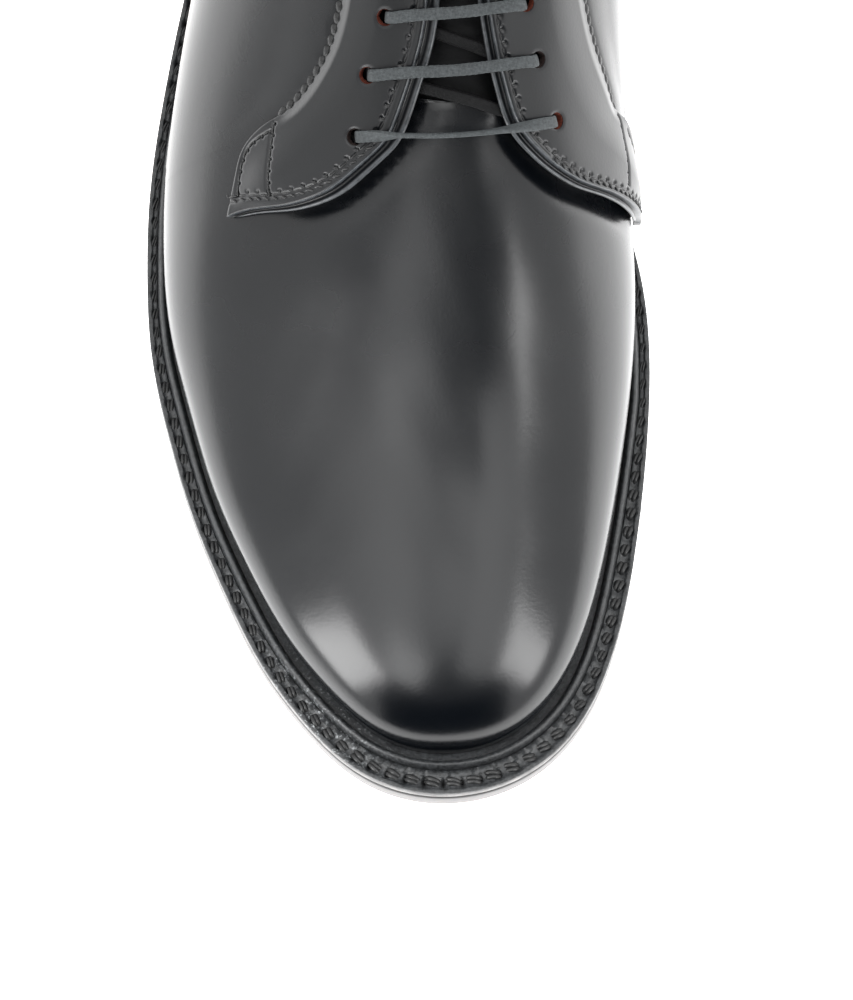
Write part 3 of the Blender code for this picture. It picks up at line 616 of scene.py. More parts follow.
def new_piece(name, points, quads, finish, stands_for=(), weld=False, sharp=50, extra=()):
    """A piece from points and quads. It rides on the shoe and stands for solids where named."""
    mesh = bpy.data.meshes.new(name)
    faces = [tuple(face) for face in np.asarray(quads).tolist()] + list(extra)
    mesh.from_pydata((np.asarray(points) + SHIFT).tolist(), [], faces)
    build = bmesh.new()
    build.from_mesh(mesh)
    if weld:
        bmesh.ops.remove_doubles(build, verts=build.verts, dist=2e-6)
        bmesh.ops.dissolve_degenerate(build, edges=build.edges, dist=1e-8)
    bmesh.ops.recalc_face_normals(build, faces=build.faces)
    build.to_mesh(mesh)
    build.free()
    mesh.materials.append(finish)
    mesh.shade_smooth()
    mesh.set_sharp_from_angle(angle=math.radians(sharp))
    made = placed(name, mesh)
    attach(made, "root")
    if stands_for:
        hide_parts(*stands_for)
    return made


def mark(made, name, values):
    """Gives every vertex of a piece a value that its finish reads."""
    attribute = made.data.attributes.new(name, "FLOAT", "POINT")
    attribute.data.foreach_set("value", np.asarray(values).ravel().astype(np.float32))


def nearest(points, line):
    """Distance of each point from a row of points, and how far along the row the nearest one lies."""
    best = np.full(points.shape[:-1], np.inf)
    where = np.zeros(points.shape[:-1])
    for place, run in zip(line, lengths(line)):
        distance = np.linalg.norm(points - place, axis=-1)
        closer = distance < best
        best = np.where(closer, distance, best)
        where = np.where(closer, run, where)
    return best, where


# Stitch rows. Each is a smooth line of places (station, rise) on one side, with a pitch, thread and depth.

STRAND_STEPS = 7
STRAND_SIDES = 8
STRAND_POINTS = STRAND_STEPS * STRAND_SIDES


def sewn_dent(points, row):
    """How far a row of stitches pulls the leather in: a narrow channel, and a round pit at each hole."""
    distance = nearest(points, row["line"])[0]
    dent = row["channel"] * bump(distance, row["width"])
    for hole in row["holes"]:
        dent = np.maximum(dent, row["hole"] * bump(np.linalg.norm(points - hole, axis=-1), row["pit"]))
    return dent


def threads(centre, way, normal, length, thick, sink, flat=0.8):
    """Points and quads of some stitches, each a flattened round strand about its own centre.

    A strand's middle line runs along its way and sinks at both ends as a parabola; its section is an ellipse
    that tapers to the ends. The thickness is one value or one for each strand.
    """
    t = np.linspace(-0.5, 0.5, STRAND_STEPS)
    side = unit(np.cross(way, normal))
    middle = centre[:, None] + way[:, None] * (length * t)[None, :, None]
    middle = middle - normal[:, None] * (sink * (2 * t) ** 2)[None, :, None]
    turn = np.linspace(0, 2 * math.pi, STRAND_SIDES, endpoint=False)
    taper = np.sqrt(np.clip(1.02 - (2 * t) ** 4, 0.02, 1))
    wide = np.broadcast_to(thick, len(centre))[:, None, None, None] / 2
    ring = (side[:, None, None] * np.cos(turn)[None, None, :, None]
            + normal[:, None, None] * (np.sin(turn) * flat)[None, None, :, None])
    points = middle[:, :, None] + ring * wide * taper[None, :, None, None]
    quads = [grid_quads(STRAND_STEPS, STRAND_SIDES, wrap_columns=True, first=index * STRAND_POINTS)
             for index in range(len(centre))]
    return points.reshape(-1, 3), np.concatenate(quads)


def sewn_row(line, normals, pitch, aside=0.0, slant=0.0):
    """Places of a row of stitches along an even line: middles, ways, normals and holes.

    The holes lie halfway between the stitches, aside of the line; slant turns each stitch about its middle.
    """
    run = lengths(line)
    count = max(1, int(run[-1] / pitch))
    start = (run[-1] - count * pitch) / 2

    def way_at(places):
        ahead = read_along(run, line, places + 0.2 * pitch)
        return unit(ahead - read_along(run, line, places - 0.2 * pitch))

    middles_at = start + pitch * (np.arange(count) + 0.5)
    holes_at = start + pitch * np.arange(count + 1)
    normal = read_along(run, normals, middles_at)
    way = way_at(middles_at)
    way = unit(way + np.cross(way, normal) * slant)
    hole_normal = read_along(run, normals, holes_at)
    hole_across = np.cross(way_at(holes_at), hole_normal)
    return {"middle": read_along(run, line, middles_at), "way": way, "normal": normal,
            "holes": read_along(run, line, holes_at) + hole_across * aside, "hole_normal": hole_normal,
            "hole_across": hole_across}


def stitches_piece(name, sets, finish):
    """One piece from several sets of strands, with their ends closed."""
    points, quads, ends, total = [], [], [], 0
    for strands in sets:
        row_points, row_quads = threads(**strands)
        points.append(row_points)
        quads.append(row_quads + total)
        for base in range(total, total + len(row_points), STRAND_POINTS):
            final = base + STRAND_POINTS - 1
            ends.append(tuple(range(base, base + STRAND_SIDES)))
            ends.append(tuple(range(final, final - STRAND_SIDES, -1)))
        total += len(row_points)
    return new_piece(name, np.concatenate(points), np.concatenate(quads), finish, extra=ends, sharp=80)


# Materials.

BLUE_BLACK = (0.0008, 0.0013, 0.0021, 1)
NEAR_BLACK = (0.0030, 0.0034, 0.0040, 1)
SOFT_BLACK = (0.0022, 0.0024, 0.0028, 1)
# The grey painted on the flaps' rims: a painted highlight, partly rubbed wear.
RIM_HIGHLIGHT_GREY = (0.105, 0.115, 0.125, 1)
TORN_FIBRE = 2500.0

# Where the upper's polish fades out along the shoe, and where the welt's worn specks do, along and across it.
POLISH_ENDS = (-0.115, -0.06)
WORN_FRONT = (-0.140, -0.112)
WORN_SIDE = (-0.022, 0.004)


def finish_of(name, **sockets):
    """A material and its node tree, with these values set on the shader's own sockets."""
    made = bpy.data.materials.new(name)
    made.use_nodes = True
    shader = made.node_tree.nodes["Principled BSDF"]
    for socket, value in sockets.items():
        shader.inputs[socket.replace("_", " ")].default_value = value
    return made, made.node_tree, shader


def node(tree, kind, inputs=None, **settings):
    """A node's outputs. Its inputs are plain values or other nodes' outputs."""
    made = tree.nodes.new(kind)
    for key, value in settings.items():
        setattr(made, key, value)
    for key, value in (inputs or {}).items():
        if isinstance(value, bpy.types.NodeSocket):
            tree.links.new(value, made.inputs[key])
        else:
            made.inputs[key].default_value = value
    return made.outputs


def object_place(tree):
    """The place on the piece, in metres."""
    return node(tree, "ShaderNodeTexCoord")["Object"]


def marked(tree, name):
    """The value that mark() gave the piece's vertices."""
    return node(tree, "ShaderNodeAttribute", attribute_name=name)["Fac"]


def calc(tree, operation, one, two=None, three=None):
    """The result of one arithmetic node."""
    inputs = {index: value for index, value in enumerate((one, two, three)) if value is not None}
    return node(tree, "ShaderNodeMath", inputs, operation=operation)[0]


def ranged(tree, value, low, high, from_low=0.0, from_high=1.0, **settings):
    """The value carried from one range to another."""
    ends = {"Value": value, "From Min": from_low, "From Max": from_high, "To Min": low, "To Max": high}
    return node(tree, "ShaderNodeMapRange", ends, **settings)["Result"]


def stepped(tree, value, low, high, from_low, from_high):
    """An S-shaped step of the value from low to high between two readings."""
    return ranged(tree, value, low, high, from_low, from_high, interpolation_type="SMOOTHSTEP")


def share_of(tree, value, low, high):
    """0 up to the low reading and 1 from the high one."""
    return ranged(tree, value, 0.0, 1.0, low, high)


def noise(tree, where, per_metre, detail=3.0, roughness=0.5, distortion=0.0):
    settings = {"Vector": where, "Scale": per_metre, "Detail": detail, "Roughness": roughness,
                "Distortion": distortion}
    return node(tree, "ShaderNodeTexNoise", settings)["Fac"]


def mixed(tree, share, one, other):
    """A colour between two."""
    made = tree.nodes.new("ShaderNodeMix")
    made.data_type = "RGBA"
    for index, value in ((0, share), (6, one), (7, other)):
        if isinstance(value, bpy.types.NodeSocket):
            tree.links.new(value, made.inputs[index])
        else:
            made.inputs[index].default_value = value
    return made.outputs[2]


def relief(tree, shader, layers):
    """Bump layers on the shader, each a height, a strength and a depth in metres."""
    normal = None
    for height, strength, depth in layers:
        inputs = {"Height": height, "Strength": strength, "Distance": depth}
        if normal:
            inputs["Normal"] = normal
        normal = node(tree, "ShaderNodeBump", inputs)["Normal"]
    tree.links.new(normal, shader.inputs["Normal"])


def black_leather(name, roughness, grain, cloud, colour=BLUE_BLACK, toe_polish=0.0, level=0.5):
    """Smooth black calf: tiny pores, soft creasing and patches a little duller, more polished at the toe.

    An attribute marks edges that are painted grey: a painted highlight along the flaps' rims, partly rubbed
    wear.
    """
    made, tree, shader = finish_of(name, Specular_IOR_Level=level)
    where = object_place(tree)
    patches = noise(tree, where, 60.0, 3.0)
    rough = ranged(tree, patches, roughness - cloud, roughness + cloud, 0.2, 0.8)
    along = node(tree, "ShaderNodeSeparateXYZ", {"Vector": where})["Y"]
    polish = stepped(tree, along, toe_polish, 0.0, *POLISH_ENDS)
    tree.links.new(calc(tree, "SUBTRACT", rough, polish), shader.inputs["Roughness"])
    tint = mixed(tree, noise(tree, where, 30.0, 2.0), colour, tuple(1.6 * c for c in colour[:3]) + (1,))
    # Painted highlight: the edges that the attribute marks turn grey, broken up by noise.
    patchy = ranged(tree, noise(tree, where, 700.0, 3.0), 0.5, 1.0, 0.35, 0.6)
    tint = mixed(tree, calc(tree, "MULTIPLY", marked(tree, "wear_and_highlight"), patchy), tint, RIM_HIGHLIGHT_GREY)
    tree.links.new(tint, shader.inputs["Base Color"])
    pores = node(tree, "ShaderNodeTexVoronoi", {"Vector": where, "Scale": 1700.0}, feature="SMOOTH_F1")
    creasing = noise(tree, where, 380.0, 4.0, 0.6, 0.4)
    relief(tree, shader, [(creasing, grain, 0.00014), (pores["Distance"], grain, 0.00007)])
    return made


def plain_leather(name, dark, light, roughness, scale=260.0):
    """Undyed or dyed leather with a visible fibre: two colours mixed by noise, and a dull nap."""
    made, tree, shader = finish_of(name)
    where = object_place(tree)
    fibre = noise(tree, where, scale, 6.0, 0.65)
    tree.links.new(mixed(tree, fibre, dark, light), shader.inputs["Base Color"])
    tree.links.new(ranged(tree, fibre, roughness - 0.1, roughness + 0.1), shader.inputs["Roughness"])
    relief(tree, shader, [(fibre, 0.35, 0.0003)])
    return made


def make_finishes():
    """Every finish by name."""
    return {
        "upper": black_leather("polished_black_leather", 0.27, 0.10, 0.03, toe_polish=0.05),
        "flap": black_leather("black_flap_leather", 0.32, 0.14, 0.03),
        "tongue": black_leather("soft_black_tongue_leather", 0.55, 0.4, 0.05, SOFT_BLACK, level=0.2),
        "lining": plain_leather("natural_lining_leather", (0.32, 0.2, 0.11, 1), (0.45, 0.3, 0.18, 1), 0.6),
        "insole": plain_leather("tan_sock_leather", (0.33, 0.19, 0.09, 1), (0.46, 0.29, 0.16, 1), 0.5),
        "raw": plain_leather("raw_red_brown_edge", (0.05, 0.008, 0.003, 1), (0.17, 0.032, 0.013, 1), 0.8,
                             TORN_FIBRE),
        "dyed": plain_leather("dyed_raw_edge", (0.004, 0.004, 0.004, 1), (0.03, 0.012, 0.009, 1), 0.8,
                              TORN_FIBRE),
        "rubber": plain_leather("black_heel_rubber", (0.006, 0.006, 0.006, 1), (0.016, 0.016, 0.016, 1),
                                0.65),
        "welt": welt_finish(),
        "heel": waxed_edge("waxed_black_heel", NEAR_BLACK, (0.014, 0.014, 0.014, 1), 0.33, 0.3),
        "thread": waxed_edge("black_thread", (0.0010, 0.0011, 0.0013, 1), (0.006, 0.007, 0.008, 1),
                             0.60, 0.6),
        "edge": sole_finish(),
        "lace": woven_lace(),
    }


def waxed_edge(name, dark, light, roughness, relief_strength):
    """Leather edge or thread under wax: specks and scuffs over a darker ground."""
    made, tree, shader = finish_of(name, Coat_Weight=0.25, Coat_Roughness=0.2)
    where = object_place(tree)
    specks = noise(tree, where, 1300.0, 5.0, 0.7)
    scuffs = noise(tree, where, 240.0, 4.0, 0.6)
    share = share_of(tree, specks, 0.42, 0.72)
    tree.links.new(mixed(tree, share, dark, light), shader.inputs["Base Color"])
    rough = ranged(tree, scuffs, roughness - 0.1, roughness + 0.15, 0.3, 0.7)
    tree.links.new(rough, shader.inputs["Roughness"])
    relief(tree, shader, [(scuffs, relief_strength, 0.0005), (specks, relief_strength, 0.0002)])
    return made


def welt_finish():
    """Dyed welt leather: a mottled dark grey, worn to pale specks round the outer side of the toe.

    It is painted black in the stitch holes, which the pit attribute marks: painted shade in the holes.
    """
    made, tree, shader = finish_of("waxed_black_welt", Coat_Weight=0.15, Coat_Roughness=0.3)
    where = object_place(tree)
    parts = node(tree, "ShaderNodeSeparateXYZ", {"Vector": where})
    specks = noise(tree, where, 1400.0, 5.0, 0.7)
    scuffs = noise(tree, where, 300.0, 4.0, 0.6)
    speckled = share_of(tree, specks, 0.35, 0.70)
    grey = mixed(tree, speckled, (0.005, 0.0055, 0.006, 1), (0.038, 0.041, 0.044, 1))
    front = stepped(tree, parts["Y"], 1.0, 0.0, *WORN_FRONT)
    outer = stepped(tree, parts["X"], 1.0, 0.0, *WORN_SIDE)
    flecks = calc(tree, "MULTIPLY", share_of(tree, specks, 0.55, 0.62), share_of(tree, scuffs, 0.46, 0.60))
    wear_and_highlight = calc(tree, "MULTIPLY", calc(tree, "MULTIPLY", front, outer), flecks)
    colour = mixed(tree, wear_and_highlight, grey, (0.40, 0.42, 0.43, 1))
    # Painted shade: near black in the stitch holes.
    colour = mixed(tree, marked(tree, "pit"), colour, (0.0012, 0.0013, 0.0015, 1))
    tree.links.new(colour, shader.inputs["Base Color"])
    tree.links.new(ranged(tree, scuffs, 0.36, 0.62, 0.3, 0.7), shader.inputs["Roughness"])
    relief(tree, shader, [(scuffs, 0.7, 0.0004), (specks, 0.7, 0.0002)])
    return made


def sole_finish():
    """The leather sole: a grey waxed edge between two dark lines, and an oak-tanned underside.

    The level attribute runs from 0 on the underside to 1 on the top. The lower dark line, round the bottom
    corner, is painted shade.
    """
    made, tree, shader = finish_of("leather_sole", Coat_Weight=0.1, Coat_Roughness=0.3)
    where = object_place(tree)
    level = marked(tree, "level")
    fibre = noise(tree, where, 260.0, 6.0, 0.65)
    streaks = noise(tree, where, 900.0, 4.0, 0.7)
    dark = (0.003, 0.003, 0.0033, 1)
    waxed = mixed(tree, share_of(tree, streaks, 0.3, 0.7), (0.05, 0.05, 0.052, 1), (0.09, 0.09, 0.093, 1))
    colour = mixed(tree, fibre, (0.26, 0.14, 0.065, 1), (0.40, 0.24, 0.12, 1))
    # Painted shade: the lower dark band round the bottom corner. The grey waxed band and the dark line at the
    # top follow.
    for above, start, full in ((dark, 0.005, 0.01), (waxed, 0.16, 0.20), (dark, 0.78, 0.86)):
        colour = mixed(tree, share_of(tree, level, start, full), colour, above)
    tree.links.new(colour, shader.inputs["Base Color"])
    tree.links.new(ranged(tree, streaks, 0.35, 0.6), shader.inputs["Roughness"])
    relief(tree, shader, [(fibre, 0.25, 0.0003), (streaks, 0.3, 0.00015)])
    return made


def woven_lace():
    """A flat waxed weave: slanted yarns that cross in its own UV, near black with a grey bloom of wax."""
    made, tree, shader = finish_of("flat_woven_lace", Specular_IOR_Level=0.2)
    along = node(tree, "ShaderNodeUVMap", uv_map="weave")["UV"]
    parts = node(tree, "ShaderNodeSeparateXYZ", {"Vector": along})
    waves = []
    for sign in (1.0, -1.0):
        slanted = calc(tree, "MULTIPLY_ADD", parts["Y"], sign, parts["X"])
        waves.append(calc(tree, "SINE", calc(tree, "MULTIPLY", slanted, 2 * math.pi / YARN)))
    height = share_of(tree, calc(tree, "MULTIPLY", *waves), -1.0, 1.0)
    where = object_place(tree)
    flecks = noise(tree, where, 1500.0, 4.0, 0.65)
    # Painted shade: the grey bloom shows only where the attribute is 1, not where the lace is hidden.
    bloom_and_shade = marked(tree, "bloom_and_shade")
    waxed = calc(tree, "MULTIPLY", ranged(tree, flecks, 0.45, 1.0, 0.30, 0.70), bloom_and_shade)
    grey = mixed(tree, waxed, (0.003, 0.0032, 0.0036, 1), (0.088, 0.098, 0.102, 1))
    # Painted shade in the gaps between the yarns.
    yarn_gap_shade = calc(tree, "MULTIPLY", ranged(tree, height, 0.35, 0.0), bloom_and_shade)
    shade = mixed(tree, yarn_gap_shade, grey, (0.010, 0.011, 0.012, 1))
    tree.links.new(shade, shader.inputs["Base Color"])
    tree.links.new(ranged(tree, flecks, 0.5, 0.75), shader.inputs["Roughness"])
    relief(tree, shader, [(height, 0.5, 0.0002), (flecks, 0.5, 0.00015)])
    return made


# The upper and its lining.


def upper_stations(toe_count, throat_count, side_count, heel_count):
    """Stations of the sections: close at the toe tip, round the throat and round the heel."""
    tip = TIP_Y / SOLE_LENGTH
    toe = tip + (THROAT - tip) * (1 - np.cos(np.linspace(0, math.pi / 2, toe_count + 1)))
    throat = THROAT + THROAT_ROUND * (1 - np.cos(np.linspace(0, math.pi / 2, throat_count + 1)))
    side = np.linspace(THROAT + THROAT_ROUND, HEEL_CENTRE, side_count + 1)
    heel = np.linspace(HEEL_CENTRE, 1, heel_count + 1)
    return toe[1:], np.concatenate([throat[1:], side[1:], heel[1:]])


def hollow(counts, rise_counts, rim_count, outer, inner, drop):
    """Points and quads of a hollow shell on the last.

    Its columns run from the toe tip along the medial side, round the heel and back. A column goes up the
    outside from the feather edge, over a half-round rim and down the inside. outer(station, side, rise) and
    inner(station, side, rise) are the offsets of the two skins, and drop lowers the free edge, as a rise.
    Sections in front of the throat have no rim, because there the two sides join along the ridge.
    """
    closed, free = upper_stations(*counts)
    stations = np.concatenate([closed, free])
    columns = {}
    for side in (MEDIAL, LATERAL):
        top = collar_rise(stations, side)
        top = np.where(stations > THROAT, top - drop, top)[:, None]
        grids = []
        for count, offset in zip(rise_counts, (outer, inner)):
            share = np.linspace(0, 1, count)
            rises = -1 + (top + 1) * (3 * share + share**2)[None, :] / 4
            station = np.broadcast_to(stations[:, None], rises.shape)
            grid = skin(station, side, rises, offset(station, side, rises))
            grid[:, 0, 2] = feather_z(grid[:, 0, 1])
            grids.append(grid)
        outside, inside = grids
        up = unit(outside[:, -1] - outside[:, -2])
        across = (inside[:, -1] - outside[:, -1]) / 2
        middle = (inside[:, -1] + outside[:, -1]) / 2
        angle = np.linspace(0, math.pi, rim_count + 2)[1:-1]
        height = np.linalg.norm(across, axis=1)[:, None]
        rim = [middle - across * math.cos(a) + up * height * math.sin(a) for a in angle]
        columns[side] = np.concatenate([outside, np.stack(rim, 1), inside[:, ::-1]], 1)
    tip_out = np.array([tip_shift(TIP_Y / SOLE_LENGTH), TIP_Y, feather_z(TIP_Y)])
    tip_in = tip_out + np.array([0, WALL, 0])
    rim_share = np.linspace(0, 1, rim_count + 2)[1:-1, None]
    pole = np.concatenate([
        np.repeat(tip_out[None], rise_counts[0], 0),
        tip_out + (tip_in - tip_out) * rim_share,
        np.repeat(tip_in[None], rise_counts[1], 0),
    ])
    grid = np.concatenate([pole[None], columns[MEDIAL], columns[LATERAL][-2::-1]])
    rows, count = grid.shape[:2]
    quads = grid_quads(rows, count, wrap_rows=True, wrap_columns=True)
    row = np.repeat(np.arange(rows), count)
    column = np.tile(np.arange(count), rows)
    shut = (row < len(closed)) | (row >= rows - len(closed))
    on_rim = (column >= rise_counts[0] - 1) & (column < rise_counts[0] + rim_count)
    return grid.reshape(-1, 3), quads[~(shut & on_rim)]


def seam_rise(station, side):
    """Rise of the flap's seam at a station, and beyond the tab its edge carried on."""
    rows = FLAP_ROWS[side]
    keep = rows["fold"] >= 5
    return np.interp(station, rows["outer_station"][keep], rows["outer_rise"][keep])


def rim_valley(side, points):
    """How far the vamp sinks towards the flap's rim, which presses and shades it."""
    folds = np.linspace(*VALLEY_FOLDS, 520)
    line = skin(*place_on(side, folds, 1.0), 0.0)
    distance, run = nearest(points, line)
    share = run / lengths(line)[-1]
    deep = VALLEY * between(VALLEY_START, share) * (1 - between(VALLEY_END, share))
    return deep * bump(distance, VALLEY_WIDTH)


def quarter_relief(station, side, rise):
    """The upper's outer offset: a soft lip along the flap's seam, a valley along the flap's rim, and the slow
    unevenness of drawn leather, crossed waves whose numbers are radians a metre."""
    points = wall(station, side, rise)
    below = seam_rise(station, side) - rise
    arc = np.linalg.norm(wall(station, side, rise + 0.01) - points, axis=-1) / 0.01
    distance = below * arc
    lip = SEAM_LIP * smooth((distance - LIP_FROM) / LIP_UP) * (1 - smooth((distance - LIP_TO) / LIP_DOWN))
    start = SEAM_START[side] + LIP_START[0], SEAM_START[side] + LIP_START[1]
    lip = lip * between(start, station) * (below > 0)
    lip = lip * (1 - between(LIP_END, station))
    uneven = np.sin(points[..., 1] * 260 + 3 * np.sin(points[..., 0] * 95)) * np.sin(points[..., 0] * 170 + 1)
    vamp = between(UNEVEN_START, station) * (1 - between(UNEVEN_END, station)) * between(UNEVEN_RISES, rise)
    back_seam = BACK_LINE * bump((1 - station) * SOLE_LENGTH, BACK_LINE_WIDTH) * (station > BACK_LINE_FROM)
    under_collar = (collar_rise(station, side) - rise) * arc
    topline = TOP_LINE * bump(under_collar - TOP_LINE_BELOW, TOP_LINE_WIDTH) * (station > TOP_LINE_FROM)
    return lip + UNEVEN * uneven * vamp - back_seam - topline - rim_valley(side, points)


def even_skin(offset):
    """A skin at one offset from the last all over, as hollow() takes it."""
    return lambda station, side, rise: np.full(station.shape, offset)


def make_upper(looks):
    """The lasted upper, with the quarters' lips along the flaps' seams."""
    points, quads = hollow((110, 30, 110, 40), (104, 24), 6, quarter_relief, even_skin(-WALL), 0.0)
    return new_piece("upper_leather", points, quads, looks["upper"], ("upper",), weld=True, sharp=60)


def make_lining(looks):
    """The lining, a thin sheet just inside the upper that stops a little below the collar's edge."""
    outer, inner = [even_skin(-WALL - face) for face in LINING_FACES]
    points, quads = hollow((40, 18, 60, 26), (30, 30), 2, outer, inner, LINING_DROP)
    return new_piece("lining", points, quads, looks["lining"], weld=True, sharp=60)


# The flaps.

FLAP_COUNTS = (380, 120)
LAST_FOLD = 10
EYELET_COUNT = len(EYELET_ROWS["row"])

# The inner rim's section from the top skin to the underside: share of the thickness, place and how grey it is
# painted, a painted highlight that is partly rubbed wear. The place is -1 at the top skin's edge and 0 at the
# flap's own edge. Where the lip stands out it is positive, and a millimetre is added to the step that it
# counts in.
RIM_PROFILE = (
    (0.72, -0.97, 0.45), (0.42, -0.93, 0.0), (0.26, -0.82, 0.0), (0.24, -0.62, 0.0), (0.36, -0.42, 0.0),
    (0.50, -0.24, 0.1), (0.53, -0.08, 0.5), (0.46, 0.08, 0.6), (0.28, 0.18, 0.1), (0.12, 0.16, 0.0),
    (0.0, 0.05, 0.0),
)

# The eyelets' raw walls: how many levels deep and sides round they are made, how far inside the hole they
# start and draw in, how far below the flap's top they start and reach, and the place of their outer face.
TUBE_LEVELS = 8
TUBE_SIDES = 28
TUBE_INSET = 0.00010
TUBE_TAPER = 0.00012
TUBE_TOP = 0.00045
TUBE_DEEP = 0.0014
TUBE_BACK = 0.00005


def eyelet(side, row):
    """Station and rise of an eyelet."""
    return EYELET_ROWS[sided(side, "station")][row], EYELET_ROWS[sided(side, "rise")][row]


def rim_row(side, ends, inset, count=60):
    """A line of places that keeps this distance inside the flap's inner rim, between two folds."""
    folds = np.linspace(*ends, count)
    outer = skin(*place_on(side, folds, 0.0), FACING)
    inner = skin(*place_on(side, folds, 1.0), FACING)
    width = np.linalg.norm(inner - outer, axis=1)
    slope = np.gradient(inner, lengths(inner), axis=0)
    spoke = (outer - inner) / width[:, None]
    square = np.sqrt(np.clip(1 - (spoke * slope).sum(1) ** 2, 0.05, 1))
    across = 1 - inset / (width * square)
    return np.stack(flap_place(side, folds, across), 1)


def place_on(side, fold, across):
    """Station, side and rise, as skin() takes them."""
    station, rise = flap_place(side, fold, across)
    return station, side, rise


def flap_offset(side, places):
    """Offset of the flap's top skin at some places, from the nearest spot of a coarse grid over the flap."""
    folds = np.linspace(0, LAST_FOLD, 120)[:, None]
    across = np.linspace(0, 1, 60)[None, :]
    station, rise = flap_place(side, folds, across)
    grid = wall(station, side, rise).reshape(-1, 3)
    height = (flap_under(folds, across) + flap_thickness(folds, across)).ravel()
    spots = wall(places[:, 0], side, places[:, 1])
    found = np.argmin(((grid[None] - spots[:, None]) ** 2).sum(-1), 1)
    return height[found]


# The flaps' other stitch rows, as places on the last: across the tab, and inside the tab's outer edge.
TAB_ROWS = {
    LATERAL: [
        [(0.4415, 0.548), (0.425, 0.546), (0.409, 0.543), (0.3945, 0.543)],
        [(0.4370, 0.540), (0.431, 0.474), (0.417, 0.445), (0.401, 0.436)],
    ],
    MEDIAL: [
        [(0.4620, 0.259), (0.440, 0.269), (0.4150, 0.290)],
        [(0.4570, 0.200), (0.447, 0.120), (0.433, 0.080), (0.4185, 0.065)],
    ],
}


def flap_rows(side):
    """The stitch rows of one flap, each with its line, holes, strands and how far it pulls the leather in."""
    sets = [(rim_row(side, MAIN_FOLDS, MAIN_INSET[side]), MAIN_ROW),
            (rim_row(side, FRONT_FOLDS, FRONT_INSET[side]), FRONT_ROW)]
    for places in TAB_ROWS[side]:
        share = np.linspace(0, 1, len(places))
        fine = np.linspace(0, 1, 60)
        line = np.array(places)
        curve = np.stack([spline(share, line[:, 0], fine), spline(share, line[:, 1], fine)], 1)
        sets.append((curve, TAB_ROW))
    rows = []
    for places, kind in sets:
        offset = flap_offset(side, places)
        offset = np.convolve(np.pad(offset, 3, "edge"), np.ones(7) / 7, "valid")
        line = skin(places[:, 0], side, places[:, 1], offset)
        normals = outward_normal(places[:, 0], side, places[:, 1])
        run = lengths(line)
        even = np.linspace(0, run[-1], 420)
        line, normals = read_along(run, line, even), read_along(run, normals, even)
        sewn = sewn_row(line, normals, kind["pitch"], side * kind["aside"], kind["slant"])
        rows.append({**kind, "line": line, **sewn})
    return rows


def flap_top(side, folds, across, width, keep):
    """The flap's top skin, rounded off at its edges and dented by its seam, its stitches and its eyelets."""
    station, rise = flap_place(side, folds, across)
    steps = np.linalg.norm(np.diff(wall(station, side, rise), axis=0), axis=-1)
    run = np.concatenate([np.zeros((1, steps.shape[1])), np.cumsum(steps, axis=0)])
    to_rim = np.minimum(width * (keep - across), np.minimum(width * across, run) + RIM_ROUND * 0.25)
    share = np.clip(to_rim / RIM_ROUND, 0, 1)
    edge_drop = RIM_DROP * (1 - np.sqrt(1 - (1 - share) ** 2))
    top = flap_under(folds, across) + flap_thickness(folds, across)
    seam = between(SEAM_SHOWN, folds)
    scallop = 0.5 + 0.5 * np.cos(2 * math.pi * run[:, :1] / SEAM_STITCH)
    rolled = SEAM_ROLL * (1 - np.sqrt(1 - (1 - np.clip(width * across / SEAM_ROLL_WIDTH, 0, 1)) ** 2))
    dent = edge_drop + seam * (rolled + SEAM_SCALLOP * scallop * bump(width * across, SEAM_SCALLOP_WIDTH))
    points = skin(station, side, rise, top)
    for row in flap_rows(side):
        dent = dent + sewn_dent(points, row)
    for number in range(EYELET_COUNT):
        place = eyelet(side, number)
        centre = skin(place[0], side, place[1], flap_offset(side, np.array([place]))[0])
        beyond = np.maximum(np.linalg.norm(points - centre, axis=-1) - EYELET_HOLE / 2, 0)
        dent = dent + EYELET_DENT * bump(beyond, EYELET_DENT_WIDTH)
    dent = np.minimum(dent, flap_thickness(folds, across) - THINNEST)
    return skin(station, side, rise, top - dent)


def flap_rim(side, folds, width):
    """The rim's section of RIM_PROFILE carried along the flap's inner edge."""
    rim = []
    under = flap_under(folds, 1.0)
    thick = flap_thickness(folds, 1.0)
    deep = RIM_DEEP * lifted(folds)
    for level, reach, _ in RIM_PROFILE:
        out = (reach * RIM_STEP[side] + RIM_LIP * max(reach, 0)) / width
        station, rise = flap_place(side, folds, 1 + out)
        height = under - deep + level * (thick - RIM_DROP + deep)
        rim.append(skin(station, side, np.minimum(rise, RIM_HIGHEST), height))
    return np.stack(rim, 1)


def flap_bottom(side, folds, width):
    """The flap's underside, a little deeper along the rim."""
    across = np.linspace(0, 1, 30)[None, :]
    station, rise = flap_place(side, folds, across)
    deep = RIM_DEEP * lifted(folds) * bump(width * (1 - across), RIM_DEEP_WIDTH)
    return skin(station, side, rise, flap_under(folds, across) - deep)


